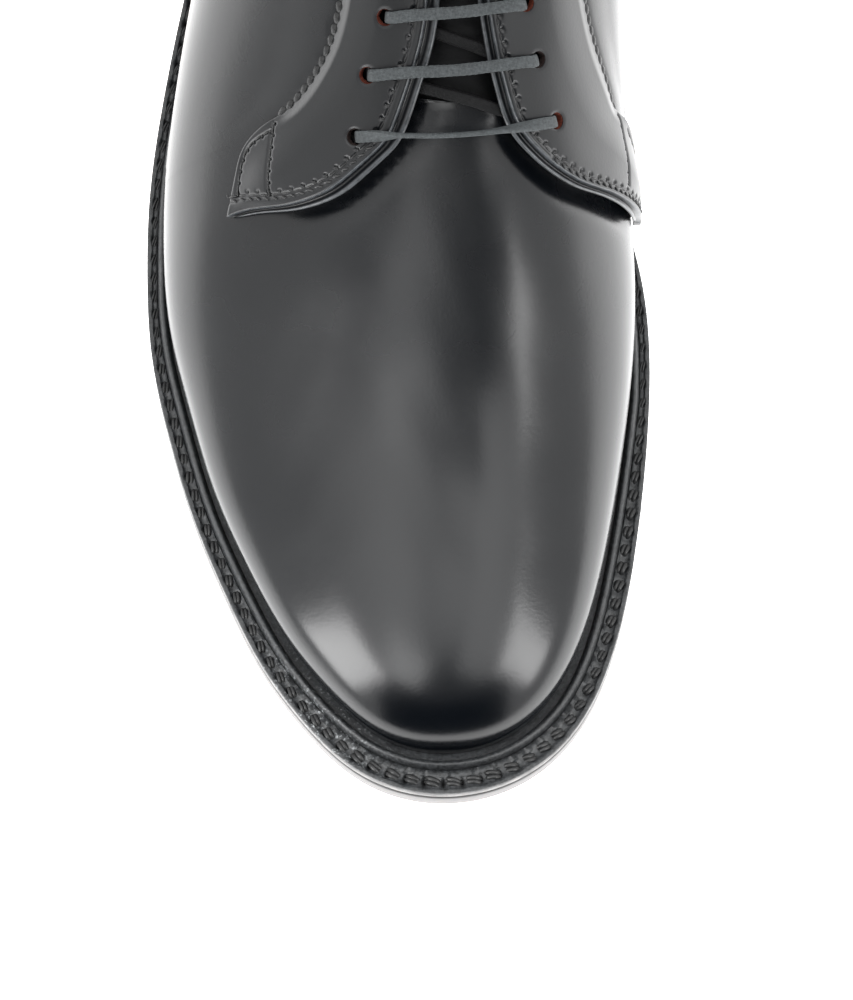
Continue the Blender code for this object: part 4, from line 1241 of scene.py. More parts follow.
def make_flap(side, looks):
    """An eyelet flap: a strip of folds dented by its stitches and eyelets.

    Along its inner rim the top skin ends a step before the lower layer, which stands out as a rounded lip.
    Both edges are painted grey: a painted highlight, partly rubbed wear.
    """
    rows, columns = FLAP_COUNTS
    folds = np.linspace(0, LAST_FOLD, rows)[:, None]
    lean = np.linspace(-1, 1, columns)
    ends = skin(*place_on(side, folds, np.array([[0.0, 1.0]])), 0.0)
    width = np.linalg.norm(ends[:, 1] - ends[:, 0], axis=1)[:, None]
    keep = 1 - RIM_STEP[side] / width
    across = (0.5 + 0.275 * np.sin(lean * math.pi / 2) + 0.225 * lean)[None, :] * keep
    top = flap_top(side, folds, across, width, keep)
    rim = flap_rim(side, folds[:, 0], width[:, 0])
    bottom = flap_bottom(side, folds, width)[:, ::-1]
    ring = np.concatenate([top, rim, bottom], 1)
    count = ring.shape[1]
    quads = grid_quads(rows, count, wrap_columns=True)
    final = (rows - 1) * count
    caps = [tuple(range(count)), tuple(range(final + count - 1, final - 1, -1))]
    made = new_piece(f"flap_{side_word(side)}", ring.reshape(-1, 3), quads, looks["flap"],
                     (f"facing_{side_word(side)}",), extra=caps, sharp=70)
    # Painted highlight, partly rubbed wear: grey along the top skin's inner edge and, from RIM_PROFILE, along
    # the rim's two layers.
    rim_highlight = np.zeros((rows, count))
    inside_edge = np.maximum(width * (keep - across) - RIM_HIGHLIGHT_INSET, 0)
    rim_highlight[:, :columns] = RIM_HIGHLIGHT * bump(inside_edge, RIM_HIGHLIGHT_WIDTH)
    rim_highlight[:, columns : columns + len(RIM_PROFILE)] = [grey for _, _, grey in RIM_PROFILE]
    mark(made, "wear_and_highlight", np.clip(rim_highlight, 0, 1))
    punch(made, side)
    return made


def lifted(fold):
    """0 at the tab's corner and 1 where the flap stands clear of the vamp."""
    return between((CLEAR_FOLD, LIFTED_FOLDS), fold)


def punch(flap, side):
    """Cuts the eyelet holes, with one cutter of five round pins."""
    build = bmesh.new()
    for number in range(EYELET_COUNT):
        place = eyelet(side, number)
        normal = Vector(outward_normal(np.array(place[0]), side, np.array(place[1])))
        centre = Vector(wall(place[0], side, place[1]) + SHIFT) + normal * PUNCH_UP
        matrix = normal.to_track_quat("Z", "Y").to_matrix().to_4x4()
        matrix.translation = centre
        radius = EYELET_HOLE / 2
        bmesh.ops.create_cone(build, cap_ends=True, segments=36, radius1=radius, radius2=radius,
                              depth=PUNCH_LENGTH, matrix=matrix)
    mesh = bpy.data.meshes.new("punch")
    build.to_mesh(mesh)
    build.free()
    cutter = placed("punch", mesh)
    cut = flap.modifiers.new("eyelets", "BOOLEAN")
    cut.object = cutter
    cut.operation = "DIFFERENCE"
    cut.solver = "EXACT"
    graph = bpy.context.evaluated_depsgraph_get()
    cut_mesh = bpy.data.meshes.new_from_object(flap.evaluated_get(graph))
    flap.modifiers.clear()
    flap.data = cut_mesh
    bpy.data.objects.remove(cutter)


def make_eyelet_edges(side, looks):
    """The raw walls of the punched holes: short tubes, wavy like torn fibre, red-brown or dyed dark."""
    turn = np.linspace(0, 2 * math.pi, TUBE_SIDES, endpoint=False)
    levels = np.linspace(0, 1, TUBE_LEVELS)
    sets = {"raw": [], "dyed": []}
    for number in range(EYELET_COUNT):
        place = eyelet(side, number)
        normal = outward_normal(np.array(place[0]), side, np.array(place[1]))
        low = flap_offset(side, np.array([place]))[0]
        first = np.cross(normal, [0, 1, 0])
        first /= np.linalg.norm(first)
        second = np.cross(normal, first)
        ways = first * np.cos(turn)[:, None] + second * np.sin(turn)[:, None]
        wavy = 0.00005 * np.sin(5 * turn + number) + 0.00004 * np.sin(11 * turn + 2 * number)
        radius = EYELET_HOLE / 2 - TUBE_INSET - TUBE_TAPER * levels[:, None] + wavy[None, :]
        centre = wall(place[0], side, place[1]) + normal * (low - TUBE_TOP - TUBE_DEEP * levels)[:, None]
        grid = centre[:, None] + ways * radius[..., None]
        back = centre[:, None] + ways * (EYELET_HOLE / 2 + TUBE_BACK)
        ring = np.concatenate([grid, back[::-1]])
        sets["dyed" if (side, number) in DYED_EYELETS else "raw"].append(ring.reshape(-1, 3))
    rows = 2 * TUBE_LEVELS
    for look, rings in sets.items():
        if rings:
            firsts = [index * rows * TUBE_SIDES for index in range(len(rings))]
            quads = [grid_quads(rows, TUBE_SIDES, wrap_rows=True, wrap_columns=True, first=first)
                     for first in firsts]
            new_piece(f"eyelet_edges_{look}_{side_word(side)}", np.concatenate(rings), np.concatenate(quads),
                      looks[look])


def make_flap_stitches(side, looks):
    """The flap's stitches: a strand between every two holes, and a short one down into each hole."""
    sets = []
    for row in flap_rows(side):
        sunk = row["middle"] - row["normal"] * row["depth"]
        sets.append({"centre": sunk, "way": row["way"], "normal": row["normal"], "length": row["length"],
                     "thick": row["thick"], "sink": row["sink"]})
        if row["aside"]:
            inner = row["holes"] - row["hole_across"] * side * row["aside"] * 0.5
            sunk = inner - row["hole_normal"] * row["depth"]
            sets.append({"centre": sunk, "way": row["hole_across"] * side, "normal": row["hole_normal"],
                         "length": 0.8 * row["aside"] + 0.0003, "thick": 0.9 * row["thick"],
                         "sink": 0.00012})
    return stitches_piece(f"flap_stitches_{side_word(side)}", sets, looks["thread"])


def make_seam_thread(side, looks):
    """The thick black thread that fills the groove between flap and quarter."""
    folds = np.linspace(*SEAM_THREAD_FOLDS, 500)
    seam = place_on(side, folds, 0.0)
    line = skin(*seam, 0.0)
    normals = outward_normal(*seam)
    away = unit(np.cross(np.gradient(line, axis=0), normals))
    outer = skin(*place_on(side, folds, -0.02), 0.0) - line
    away = away * np.sign((away * outer).sum(1))[:, None]
    line = line + away * SEAM_THREAD_ASIDE + normals * SEAM_THREAD_UP
    row = sewn_row(line, normals, SEAM_STITCH, slant=0.4 * side)
    strands = {"centre": row["middle"], "way": row["way"], "normal": row["normal"],
               "length": SEAM_STITCH * 1.25, "thick": SEAM_THREAD, "sink": SEAM_THREAD_SINK, "flat": 0.6}
    return stitches_piece(f"seam_thread_{side_word(side)}", [strands], looks["thread"])


# The tongue.


def make_tongue(looks):
    """A padded tongue under the vamp and flaps, rounded at its edges and softly wrinkled across."""
    stations = np.linspace(*TONGUE_ENDS, 130)[:, None]
    spread = np.linspace(-1, 1, 90)[None, :]
    grids = []
    length = TONGUE_ENDS[1] - TONGUE_ENDS[0]
    narrow = 1 - TONGUE_TOP_ROUND * between((TONGUE_ENDS[1] - length / 6, TONGUE_ENDS[1]), stations) ** 2
    to_edge = np.minimum(1 - np.abs(spread), 12 * (TONGUE_ENDS[1] - stations) / length)
    soft = 1 - np.sqrt(1 - (1 - np.clip(to_edge / TONGUE_SOFT, 0, 1)) ** 2)
    for side, keep in ((LATERAL, spread < 0), (MEDIAL, spread >= 0)):
        edge = TONGUE_SHARE[0] if side == MEDIAL else TONGUE_SHARE[1]
        rise = 1 - (1 - edge) * np.abs(spread) * narrow
        raised = TONGUE_RISE * between(RAISED_RISES, rise - collar_rise(stations, side))
        raised = raised * between(RAISED_STATIONS, stations - THROAT)
        wrinkle = TONGUE_WRINKLE * np.sin(stations * 560 + 3 * spread) * between(WRINKLED_FROM, stations)
        top = raised - WALL - TONGUE_GAP - TONGUE_EDGE * soft + wrinkle
        low = raised - WALL - TONGUE_GAP - TONGUE + TONGUE_EDGE * soft
        for offset in (top, low):
            grids.append(skin(np.broadcast_to(stations, rise.shape), side, rise, offset)[:, keep[0]])
    upper_face = np.concatenate([grids[0], grids[2]], 1)
    lower_face = np.concatenate([grids[1], grids[3]], 1)
    ring = np.concatenate([upper_face, lower_face[:, ::-1]], 1)
    rows, count = ring.shape[:2]
    quads = grid_quads(rows, count, wrap_columns=True)
    ends = []
    for base in (0, (rows - 1) * count):
        for j in range(count // 2 - 1):
            ends.append((base + j, base + j + 1, base + count - 2 - j, base + count - 1 - j))
    return new_piece("tongue_leather", ring.reshape(-1, 3), quads, looks["tongue"], ("tongue",),
                     extra=ends, sharp=70)


# The lace.


def make_lace(looks):
    """One flat lace, carried along a smooth path through the eyelets. It stands on edge for part of its first
    bar. Its shown stretches have the pale bloom of old wax, which is taken away as painted shade where it
    runs hidden under the flaps and down into the eyelets."""
    centre, width, twist, bloom_and_shade = lace_path()
    run = lengths(centre)
    even = np.linspace(0, run[-1], LACE_STEPS)
    centre = np.stack([eased(run, centre[:, k], even) for k in range(3)], 1)
    kernel = np.hanning(15)[1:-1] / np.hanning(15).sum()
    centre = np.stack([np.convolve(np.pad(centre[:, k], 6, "edge"), kernel, "valid") for k in range(3)], 1)
    width = read_along(run, width, even)
    angle = np.interp(even, run, twist)
    tangent = unit(np.gradient(centre, axis=0))
    width = unit(width - tangent * (width * tangent).sum(1)[:, None])
    face = np.cross(tangent, width)
    turned = width * np.cos(angle)[:, None] + face * np.sin(angle)[:, None]
    face = np.cross(tangent, turned)
    turn = np.linspace(0, 2 * math.pi, LACE_SIDES, endpoint=False)
    across = np.sign(np.cos(turn)) * np.abs(np.cos(turn)) ** LACE_SQUARENESS * LACE_WIDTH / 2
    height = np.sign(np.sin(turn)) * np.abs(np.sin(turn)) ** LACE_SQUARENESS * LACE_THICK / 2
    ripple = 1 + 0.025 * np.sin(2 * math.pi * even / 0.0013) + 0.02 * np.sin(2 * math.pi * even / 0.0071)
    points = (centre[:, None] + turned[:, None] * (across[None, :] * ripple[:, None])[..., None]
              + face[:, None] * height[None, :, None])
    quads = grid_quads(LACE_STEPS, LACE_SIDES, wrap_columns=True)
    final = LACE_STEPS * LACE_SIDES - 1
    ends = [tuple(range(LACE_SIDES)), tuple(range(final, final - LACE_SIDES, -1))]
    made = new_piece("lace_flat_woven", points.reshape(-1, 3), quads, looks["lace"], ("laces",),
                     extra=ends, sharp=70)
    uv = made.data.uv_layers.new(name="weave")
    vertex = np.empty(len(made.data.loops), np.int64)
    made.data.loops.foreach_get("vertex_index", vertex)
    ring, spot = vertex // LACE_SIDES, vertex % LACE_SIDES
    weave = np.stack([even[ring], across[spot] + height[spot]], 1)
    uv.data.foreach_set("uv", weave.astype(np.float32).ravel())
    # The bloom, taken away as painted shade along the hidden stretches.
    mark(made, "bloom_and_shade", np.repeat(np.interp(even, run, bloom_and_shade), LACE_SIDES))
    return made


def bar_twist(row, share):
    """How far a bar has turned about its own line: only the first turns, and stays on edge for a while."""
    if row:
        return 0.0
    return math.pi / 2 * (between(TWIST_UP, share) + between(TWIST_DOWN, share))


def lace_path():
    """The lace's middle line, widths, twist and bloom, with the bloom taken away as painted shade where it is
    hidden: straight bars, and diagonals under the flaps.
    """
    hidden = GAP + LACE_THICK / 2
    points, widths, twists, bloom_and_shade_values = [], [], [], []

    def signed(side, row):
        station, rise = eyelet(side, row)
        return np.array([station, side * (1 - rise)])

    def on_last(place, offset):
        spot = place[0], MEDIAL if place[1] > 0 else LATERAL, 1 - abs(place[1])
        return skin(*spot, np.array(offset)), outward_normal(*[np.asarray(v) for v in spot])

    def add(point, width, twist, bloom_and_shade):
        width = width / np.linalg.norm(width)
        if widths and np.dot(width, widths[-1]) < 0:
            width = -width
        points.append(point)
        widths.append(width)
        twists.append(twist)
        bloom_and_shade_values.append(bloom_and_shade)

    def resting(place, twist):
        """Offset of the lace's middle where it lies on a flap."""
        side = MEDIAL if place[1] > 0 else LATERAL
        top = flap_offset(side, np.array([[place[0], 1 - abs(place[1])]]))[0]
        return top + LACE_CLEAR + LACE_THICK / 2 + math.sin(twist) ** 2 * (LACE_WIDTH - LACE_THICK) / 2

    def hidden_run(start, end, steps, bow, skip=0.0):
        """A stretch under the flaps, laid on the last and bowed towards the toe."""
        heading = on_last(end, hidden)[0] - on_last(start, hidden)[0]
        length = np.linalg.norm(heading)
        for share in np.linspace(skip / length, 1 - skip / length, steps):
            bowed = np.array([bow / SOLE_LENGTH * math.sin(math.pi * share), 0])
            place = start + (end - start) * share - bowed
            point, normal = on_last(place, hidden)
            # Painted shade: hidden stretches lose the bloom.
            add(point, np.cross(normal, heading), twists[-1] if twists else 0.0, HIDDEN_SHADED_BLOOM)

    def hole(place, towards, down, heading):
        """Through an eyelet: over its inner edge and down the middle, or the other way round."""
        base, normal = on_last(place, 0.0)
        way = towards - normal * np.dot(towards, normal)
        way /= np.linalg.norm(way)
        width = np.cross(normal, heading)
        top = resting(place, 0.0)
        # Painted shade: the bloom fades as the lace goes down into the hole.
        bends = [(0.0023, top + 0.00008, 1.0), (0.0013, top - 0.00012, 0.9), (0.0006, top - 0.0008, 0.5),
                 (0.00025, top - 0.0016, HIDDEN_SHADED_BLOOM), (0.00010, hidden + 0.0010, HIDDEN_SHADED_BLOOM)]
        for distance, height, bloom_and_shade in bends if down else bends[::-1]:
            add(base + way * distance + normal * height, width, twists[-1] if twists else 0.0, bloom_and_shade)

    def rim_shares(left, right):
        """The shares of a bar at which it crosses the two flaps' rims."""
        shares = np.linspace(0, 1, 401)
        places = left + (right - left) * shares[:, None]
        found = []
        for side in (LATERAL, MEDIAL):
            rows = FLAP_ROWS[side]
            folds = np.linspace(3, 10, 400)
            rim_station = spline(rows["fold"], rows["inner_station"], folds)
            rim_rise = spline(rows["fold"], rows["inner_rise"], folds)
            rim = side * (1 - np.interp(places[:, 0], rim_station, rim_rise))
            found.append(shares[np.argmin(np.abs(places[:, 1] - rim))])
        return found

    def bar(row):
        """A shown bar from the lateral to the medial eyelet, laid on both flaps and straight over the gap."""
        left, right = signed(LATERAL, row), signed(MEDIAL, row)
        first, second = rim_shares(left, right)
        start, start_normal = on_last(left, resting(left, 0.0))
        end, end_normal = on_last(right, resting(right, 0.0))
        heading = end - start
        bow = np.array([0, -BAR_BOWS[row], 0])
        hole(left, heading, False, heading)
        turn_from = twists[-1]
        edges = {}
        for share in (first, second):
            place = left + (right - left) * share
            edges[share] = on_last(place, resting(place, bar_twist(row, share)))[0]
        for share in np.linspace(0.12, 0.88, 17):
            place = left + (right - left) * share
            twist = bar_twist(row, share)
            if first < share < second:
                part = (share - first) / (second - first)
                point = edges[first] * (1 - part) + edges[second] * part
            else:
                point = on_last(place, resting(place, twist))[0]
            normal = start_normal * (1 - share) + end_normal * share
            add(point + bow * math.sin(math.pi * share), np.cross(normal, heading), turn_from + twist, 1.0)
        hole(right, -heading, True, heading)

    aside = np.array(LACE_ASIDE)
    hidden_run(signed(LATERAL, 4) + aside, signed(LATERAL, 0) + aside, 9, 0.0)
    for row in range(EYELET_COUNT):
        bar(row)
        if row < EYELET_COUNT - 1:
            hidden_run(signed(MEDIAL, row), signed(LATERAL, row + 1), 8, DIAGONAL_BOW, 0.0022)
    return np.array(points), np.array(widths), np.array(twists), np.array(bloom_and_shade_values)


# The sole: welt, outsole, heel and insole.


def edge_samples(count):
    """The sole's outline spread evenly: points, outward directions, stations, sides and running length."""
    closed = np.concatenate([EDGE_POINTS, EDGE_POINTS[:1]])
    run = lengths(closed)
    even = np.linspace(0, run[-1], count, endpoint=False)

    points = read_along(run, closed, even)
    outward = unit(read_along(run, np.concatenate([EDGE_OUTWARD, EDGE_OUTWARD[:1]]), even))
    stations = np.interp(even, run, np.concatenate([EDGE_STATIONS, EDGE_STATIONS[:1]]))
    sides = np.where(points[:, 0] > tip_shift(stations), MEDIAL, LATERAL)
    return points, outward, stations, sides, even, run[-1]


def along_edge(samples, inset, lift, base):
    """One ring of points: the outline drawn in by inset and raised by lift over base(y)."""
    points, outward = samples[0], samples[1]
    flat = points - outward * np.broadcast_to(inset, len(points))[:, None]
    return np.column_stack([flat, base(flat[:, 1]) + lift])


def welt_rows(samples):
    """The welt's margin, the insets of the bead's two feet, and the stitch band's middle and half width."""
    stations, sides = samples[2], samples[3]
    full = margin(stations, sides)
    bulge = np.where(sides == MEDIAL, last("bulge_m", stations), last("bulge_l", stations)) * BALL_WIDTH
    toe = 1 - between((0.02, 0.20), stations)
    seen = full - 0.9 * bulge - CREASE - TOE_CREASE * toe
    bead_out = np.maximum(seen - BEAD_WIDTH, BEAD_LEAST)
    bead_in = bead_out + BEAD_WIDTH
    gap = BEAD_GAP + TOE_BEAD_GAP * toe
    middle = (WELT_EDGE + bead_out - gap) / 2
    return full, bead_in, bead_out, middle, (bead_out - gap - WELT_EDGE) / 2


def make_welt(looks):
    """The storm welt: a waxed edge, a stitched channel, a groove and the raised bead against the upper."""
    samples = edge_samples(1700)
    full, bead_in, bead_out, middle, half = welt_rows(samples)
    run, total = samples[4], samples[5]
    stitches = round(total / WELT_STITCH)
    phase = (run / total * stitches) % 1
    in_hole = bump(np.minimum(phase, 1 - phase), WELT_HOLE_WIDTH)
    wobble = 0.00007 * np.sin(run * 410) + 0.00006 * np.sin(run * 977 + 1)
    rough = 0.00010 * np.sin(run * 1730 + 2 * np.sin(run * 610)) + 0.00008 * np.sin(run * 2950 + 1)
    nothing = np.zeros(len(run))
    rings = [(0.0003, 0.0, nothing), (0.0001, 0.00012, nothing), (0.0, 0.0005, nothing),
             (0.5 * wobble, WELT / 2, nothing), (nothing, WELT - 0.0005, nothing),
             (0.00012, WELT - 0.00016, nothing), (0.0004, WELT - 0.00003, nothing),
             (WELT_EDGE - 0.0002 + wobble, WELT + wobble, nothing)]
    for share in np.linspace(-1, 1, 15):
        bowl = (1 - share**2) ** 0.6
        across_hole = bump(share, 0.75)
        depth = WELT_CHANNEL * bowl + (WELT_HOLE * across_hole + 0.0001) * in_hole
        rings.append((middle + half * share, WELT - depth + wobble + rough * bowl,
                      np.clip(1.3 * in_hole * across_hole, 0, 1) * bowl))
    rings.append((bead_out - 0.00022, WELT - 0.00005, nothing))
    rings.append((bead_out - 0.00006, WELT - 0.00035, nothing))
    for share in np.linspace(0.02, 1, 15):
        height = BEAD_HEIGHT * np.sin(math.pi * share) ** 0.6
        rings.append((bead_out + (bead_in - bead_out) * share,
                      WELT + height + 0.7 * wobble * math.sin(math.pi * share), nothing))
    foot = np.maximum(full + WELT_UNDER * 0.5, bead_in + 0.001)
    far = foot + WELT_UNDER * 0.5
    rings += [(foot, WELT, nothing), (far, WELT, nothing), (far, 0.0, nothing), (foot, 0.0, nothing)]
    grid = np.stack([along_edge(samples, inset, lift, welt_bottom) for inset, lift, _ in rings])
    quads = grid_quads(*grid.shape[:2], wrap_rows=True, wrap_columns=True)
    made = new_piece("storm_welt", grid.reshape(-1, 3), quads, looks["welt"], ("welt",), sharp=55)
    # The stitch holes, which the welt's finish paints black as shade.
    mark(made, "pit", np.concatenate([dark for _, _, dark in rings]))
    return made


def make_welt_stitches(looks):
    """The welt's lockstitch: two twisted strands between each pair of holes, wider where the band is wide."""
    samples = edge_samples(4000)
    middle, half = welt_rows(samples)[3:]
    line = along_edge(samples, middle + 0.1 * half, WELT - 0.00020, welt_bottom)
    line = np.concatenate([line, line[:1]])
    run = lengths(line)
    pitch = run[-1] / round(samples[5] / WELT_STITCH)
    row = sewn_row(line, np.tile([0.0, 0.0, 1.0], (len(line), 1)), pitch * 0.9999, slant=0.12)
    at = pitch * (np.arange(len(row["middle"])) + 0.5)
    wide = np.interp(at, run, np.concatenate([half, half[:1]]))
    wide = np.clip(0.95 * wide, 0.0005, 0.0011)
    random = np.random.default_rng(7)
    sideways = np.cross(row["way"], row["normal"])
    sets = []
    for sign in (-1, 1):
        shake = random.uniform(-1, 1, (len(wide), 2))
        centre = row["middle"] + sideways * (sign * 0.42 * wide + STITCH_SHAKE * shake[:, 0])[:, None]
        lift = STITCH_SHAKE * shake[:, 1] + (0.00012 if sign > 0 else 0.0)
        centre = centre + row["normal"] * lift[:, None]
        way = unit(row["way"] + sideways * (0.18 + 0.06 * shake[:, 1])[:, None])
        sets.append({"centre": centre, "way": way, "normal": row["normal"], "length": pitch * 0.92,
                     "thick": wide * 1.05, "sink": 0.0009, "flat": 0.75})
    return stitches_piece("welt_stitches", sets, looks["thread"])


def slab(name, samples, wall_rings, base, finish, stands_for, across=24):
    """A sole layer: rings up its side, closed below and above by rows across from side to side.

    A level attribute tells the underside (0) from the edge and the top (1).
    """
    rings = [along_edge(samples, inset, lift, base) for inset, lift in wall_rings]
    count = len(samples[0])
    points = [np.concatenate(rings)]
    quads = [grid_quads(len(rings), count, wrap_columns=True)]
    highest = wall_rings[-1][1]
    levels = [np.repeat([lift / highest for _, lift in wall_rings], count)]
    total = len(rings) * count
    share = np.linspace(0, 1, across)[None, 1:-1, None]
    for ring, lift in ((0, wall_rings[0][1]), (len(rings) - 1, highest)):
        medial = rings[ring][1 : count // 2]
        lateral = rings[ring][: count // 2 : -1]
        grid = medial[:, None] + (lateral - medial)[:, None] * share
        grid[..., 2] = base(grid[..., 1]) + lift
        rows = count // 2 - 1
        points.append(grid.reshape(-1, 3))
        levels.append(np.full(grid.size // 3, lift / highest))
        index = np.empty((rows, across), np.int64)
        index[:, 0] = ring * count + np.arange(1, count // 2)
        index[:, -1] = ring * count + np.arange(count - 1, count // 2, -1)
        index[:, 1:-1] = total + np.arange(rows * (across - 2)).reshape(rows, across - 2)
        total += rows * (across - 2)
        corners = [index[:-1, :-1], index[1:, :-1], index[1:, 1:], index[:-1, 1:]]
        quads.append(np.stack(corners, -1).reshape(-1, 4))
        for end, row in ((0, 0), (count // 2, rows - 1)):
            quads.append(np.array([[ring * count + end, index[row, j], index[row, j + 1], index[row, j + 1]]
                                   for j in range(across - 1)]))
    faces = [tuple(dict.fromkeys(face)) for face in np.concatenate(quads).tolist()]
    made = new_piece(name, np.concatenate(points), np.zeros((0, 4), int), finish, stands_for,
                     extra=faces, sharp=50)
    mark(made, "level", np.concatenate(levels))
    return made


def make_outsole(looks):
    """The leather outsole: an upright edge with small rounded corners."""
    samples = edge_samples(900)
    rings = [(0.0006, 0.0), (0.0003, 0.00012), (0.0001, 0.0004), (0.0, 0.0009), (0.0, 0.0026), (0.0, 0.0048),
             (0.0001, 0.0055), (0.0003, 0.0058), (0.0006, OUTSOLE)]
    return slab("outsole_leather", samples, rings, sole_bottom, looks["edge"], ("outsole",))


def make_insole(looks):
    """The insole with its sock: a soft rounded edge."""
    samples = edge_samples(500)
    inside = margin(samples[2], samples[3]) + WALL + 2 * GAP + 0.0008
    rings = [(inside, 0.0), (inside, INSOLE - 0.0008), (inside + 0.0003, INSOLE - 0.0002),
             (inside + 0.001, INSOLE)]
    return slab("insole_sock", samples, rings, feather_z, looks["insole"], ("insole",))


def heel_outline(inset, samples):
    """The heel's outline from above: the sole's edge behind the breast, closed by a hollow breast line."""
    edge = samples[0] - samples[1] * inset
    front = BREAST * SOLE_LENGTH + inset
    back = edge[edge[:, 1] > front + BREAST_HOLLOW]
    corners = []
    for keep in (samples[3] == LATERAL, samples[3] == MEDIAL):
        half = edge[keep]
        half = half[np.argsort(half[:, 1])]
        half = half[half[:, 1] > 0.5 * SOLE_LENGTH]
        corners.append(np.interp(front, half[:, 1], half[:, 0]))
    across = np.linspace(corners[0], corners[1], 40)
    share = (2 * across - corners[0] - corners[1]) / (corners[1] - corners[0])
    breast = np.column_stack([across, front + BREAST_HOLLOW * (1 - share**2)])
    return np.concatenate([breast, back])


def make_heel(looks):
    """The stacked heel: the top piece and three lifts, each with rounded edges."""
    samples = edge_samples(700)
    lift = (HEEL_HEIGHT - TOP_PIECE - (LIFT_COUNT + 1) * GAP) / LIFT_COUNT
    layers = [("heel_top_piece", "top_piece", "rubber", 0, TOP_PIECE)]
    for number in range(LIFT_COUNT):
        bottom = TOP_PIECE + GAP + number * (lift + GAP)
        layers.append((f"heel_lift_{number + 1}", "heel", "heel", bottom, bottom + lift))
    for place, (name, slot, look, bottom, top) in enumerate(layers):
        base = HEEL_INSET + HEEL_TAPER * (LIFT_COUNT - place)
        profile = [(HEEL_ROUNDING, bottom), (0, bottom + HEEL_ROUNDING), (0, top - HEEL_ROUNDING),
                   (HEEL_ROUNDING, top)]
        outlines = [heel_outline(base + inset, samples) for inset, _ in profile]
        size = min(len(outline) for outline in outlines)
        outlines = [resampled(np.concatenate([outline, outline[:1]]), size + 1)[:-1] for outline in outlines]
        rings = [np.column_stack([outline, np.full(size, z)]) for outline, (_, z) in zip(outlines, profile)]
        quads = grid_quads(len(rings), size, wrap_columns=True)
        caps = [tuple(range(size)), tuple(range(len(rings) * size - 1, (len(rings) - 1) * size - 1, -1))]
        new_piece(f"{name}_finished", np.concatenate(rings), quads, looks[look], (name,), extra=caps)


# Surroundings.


def make_floor():
    """A large, plain, pale floor, lit from below like a light table, so that no shadow lies on it."""
    mesh = bpy.data.meshes.new("floor")
    corners = ((-1, -1), (1, -1), (1, 1), (-1, 1))
    mesh.from_pydata([(x * FLOOR_REACH, y * FLOOR_REACH, -FLOOR_GAP) for x, y in corners], [], [(0, 1, 2, 3)])
    white = (1, 1, 1, 1)
    finish = finish_of("pale_floor", Base_Color=(0.9, 0.9, 0.9, 1), Roughness=0.9, Specular_IOR_Level=0.0,
                       Emission_Color=white, Emission_Strength=FLOOR_LIGHT)[0]
    mesh.materials.append(finish)
    floor = placed("floor", mesh)


def make_camera():
    """The photo's view: the middle of the picture looks at VIEW_TARGET."""
    data = bpy.data.cameras.new("camera")
    data.lens = VIEW_LENS
    data.clip_start = 0.05
    camera = placed("camera", data)
    bpy.context.scene.camera = camera
    elevation = math.radians(VIEW_ELEVATION)
    back = Vector((0, -math.cos(elevation), math.sin(elevation)))
    camera.location = Vector(VIEW_TARGET) + Vector(SHIFT) + back * VIEW_DISTANCE
    camera.rotation_mode = "QUATERNION"
    camera.rotation_quaternion = (-back).to_track_quat("-Z", "Y")


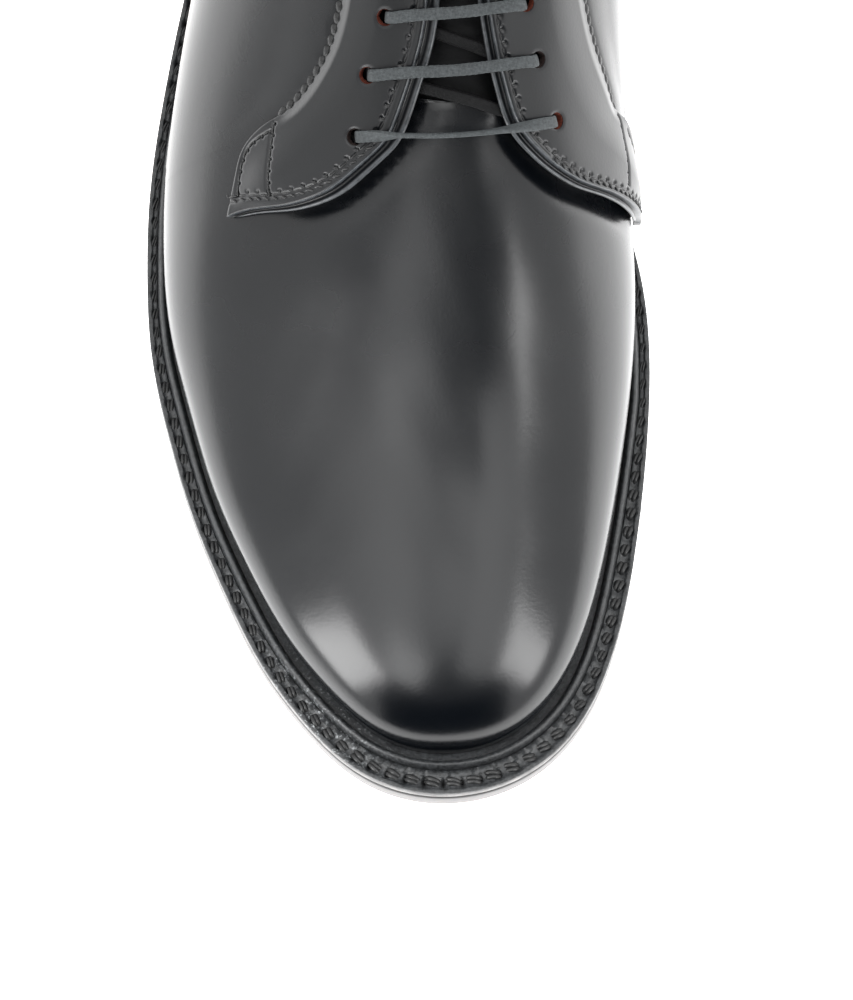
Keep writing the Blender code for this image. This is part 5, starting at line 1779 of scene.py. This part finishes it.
def make_light():
    """A soft white room with a dark gap towards the toe, wide near the floor and narrow overhead, and three
    small soft lamps close to the shoe. The camera sees plain white behind the floor."""
    world = bpy.data.worlds.new("soft_studio")
    bpy.context.scene.world = world
    world.use_nodes = True
    tree = world.node_tree
    background = tree.nodes["Background"]
    way = node(tree, "ShaderNodeSeparateXYZ", {"Vector": node(tree, "ShaderNodeTexCoord")["Generated"]})
    height = calc(tree, "MULTIPLY", calc(tree, "ARCSINE", way["Z"]), 180 / math.pi)
    left = stepped(tree, height, 0.0, GAP_LEFT, *GAP_LEFT_HEIGHTS)
    aside = calc(tree, "ABSOLUTE", calc(tree, "ADD", way["X"], left))
    half_gap = calc(tree, "ADD", stepped(tree, height, *GAP_LOW, *GAP_LOW_HEIGHTS),
                    stepped(tree, height, *GAP_HIGH, *GAP_HIGH_HEIGHTS))
    away = calc(tree, "SUBTRACT", aside, half_gap)
    boxes = stepped(tree, away, 0.0, 1.0, -GAP_SOFT, GAP_SOFT)
    behind = stepped(tree, way["Y"], 0.0, 1.0, *BEHIND)
    overhead = stepped(tree, height, 0.0, OVERHEAD, *OVERHEAD_HEIGHTS)
    shown = calc(tree, "MAXIMUM", calc(tree, "MAXIMUM", boxes, behind), overhead)
    lit = calc(tree, "MULTIPLY", shown, stepped(tree, height, *WALL_LIGHT, *WALL_HEIGHTS))
    lit = calc(tree, "ADD", lit, stepped(tree, height, *GAP_LIGHT, *GAP_LOW_HEIGHTS))
    straight = node(tree, "ShaderNodeLightPath")["Is Camera Ray"]
    strength = node(tree, "ShaderNodeMix", {"Factor": straight, "A": lit, "B": 1.0})[0]
    tree.links.new(strength, background.inputs["Strength"])
    background.inputs["Color"].default_value = (1, 1, 1, 1)
    for name, place, aim, (width, tall), power in LAMPS:
        lamp = bpy.data.lights.new(name, "AREA")
        lamp.shape = "RECTANGLE"
        lamp.size = width
        lamp.size_y = tall
        lamp.energy = power
        made = placed(name, lamp)
        made.location = Vector(place) + Vector(SHIFT)
        made.rotation_mode = "QUATERNION"
        made.rotation_quaternion = (Vector(aim) - Vector(place)).to_track_quat("-Z", "Y")
        made.visible_camera = False
    bpy.context.scene.view_settings.view_transform = "Standard"


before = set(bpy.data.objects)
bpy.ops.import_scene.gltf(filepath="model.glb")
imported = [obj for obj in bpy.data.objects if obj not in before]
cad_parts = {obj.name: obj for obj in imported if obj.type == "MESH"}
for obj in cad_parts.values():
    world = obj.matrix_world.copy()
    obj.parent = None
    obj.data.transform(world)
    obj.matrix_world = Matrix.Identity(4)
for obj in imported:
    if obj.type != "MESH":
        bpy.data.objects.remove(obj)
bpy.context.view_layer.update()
low_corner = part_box("outsole")[0]
SHIFT = np.array([low_corner.x - EDGE_POINTS[:, 0].min(), low_corner.y, 0.0])
make_camera()
make_light()
make_floor()
finishes = make_finishes()
make_lace(finishes)
make_upper(finishes)
make_lining(finishes)
for flap_side in (MEDIAL, LATERAL):
    make_flap(flap_side, finishes)
    make_eyelet_edges(flap_side, finishes)
    make_flap_stitches(flap_side, finishes)
    make_seam_thread(flap_side, finishes)
make_tongue(finishes)
make_welt(finishes)
make_welt_stitches(finishes)
make_outsole(finishes)
make_insole(finishes)
make_heel(finishes)
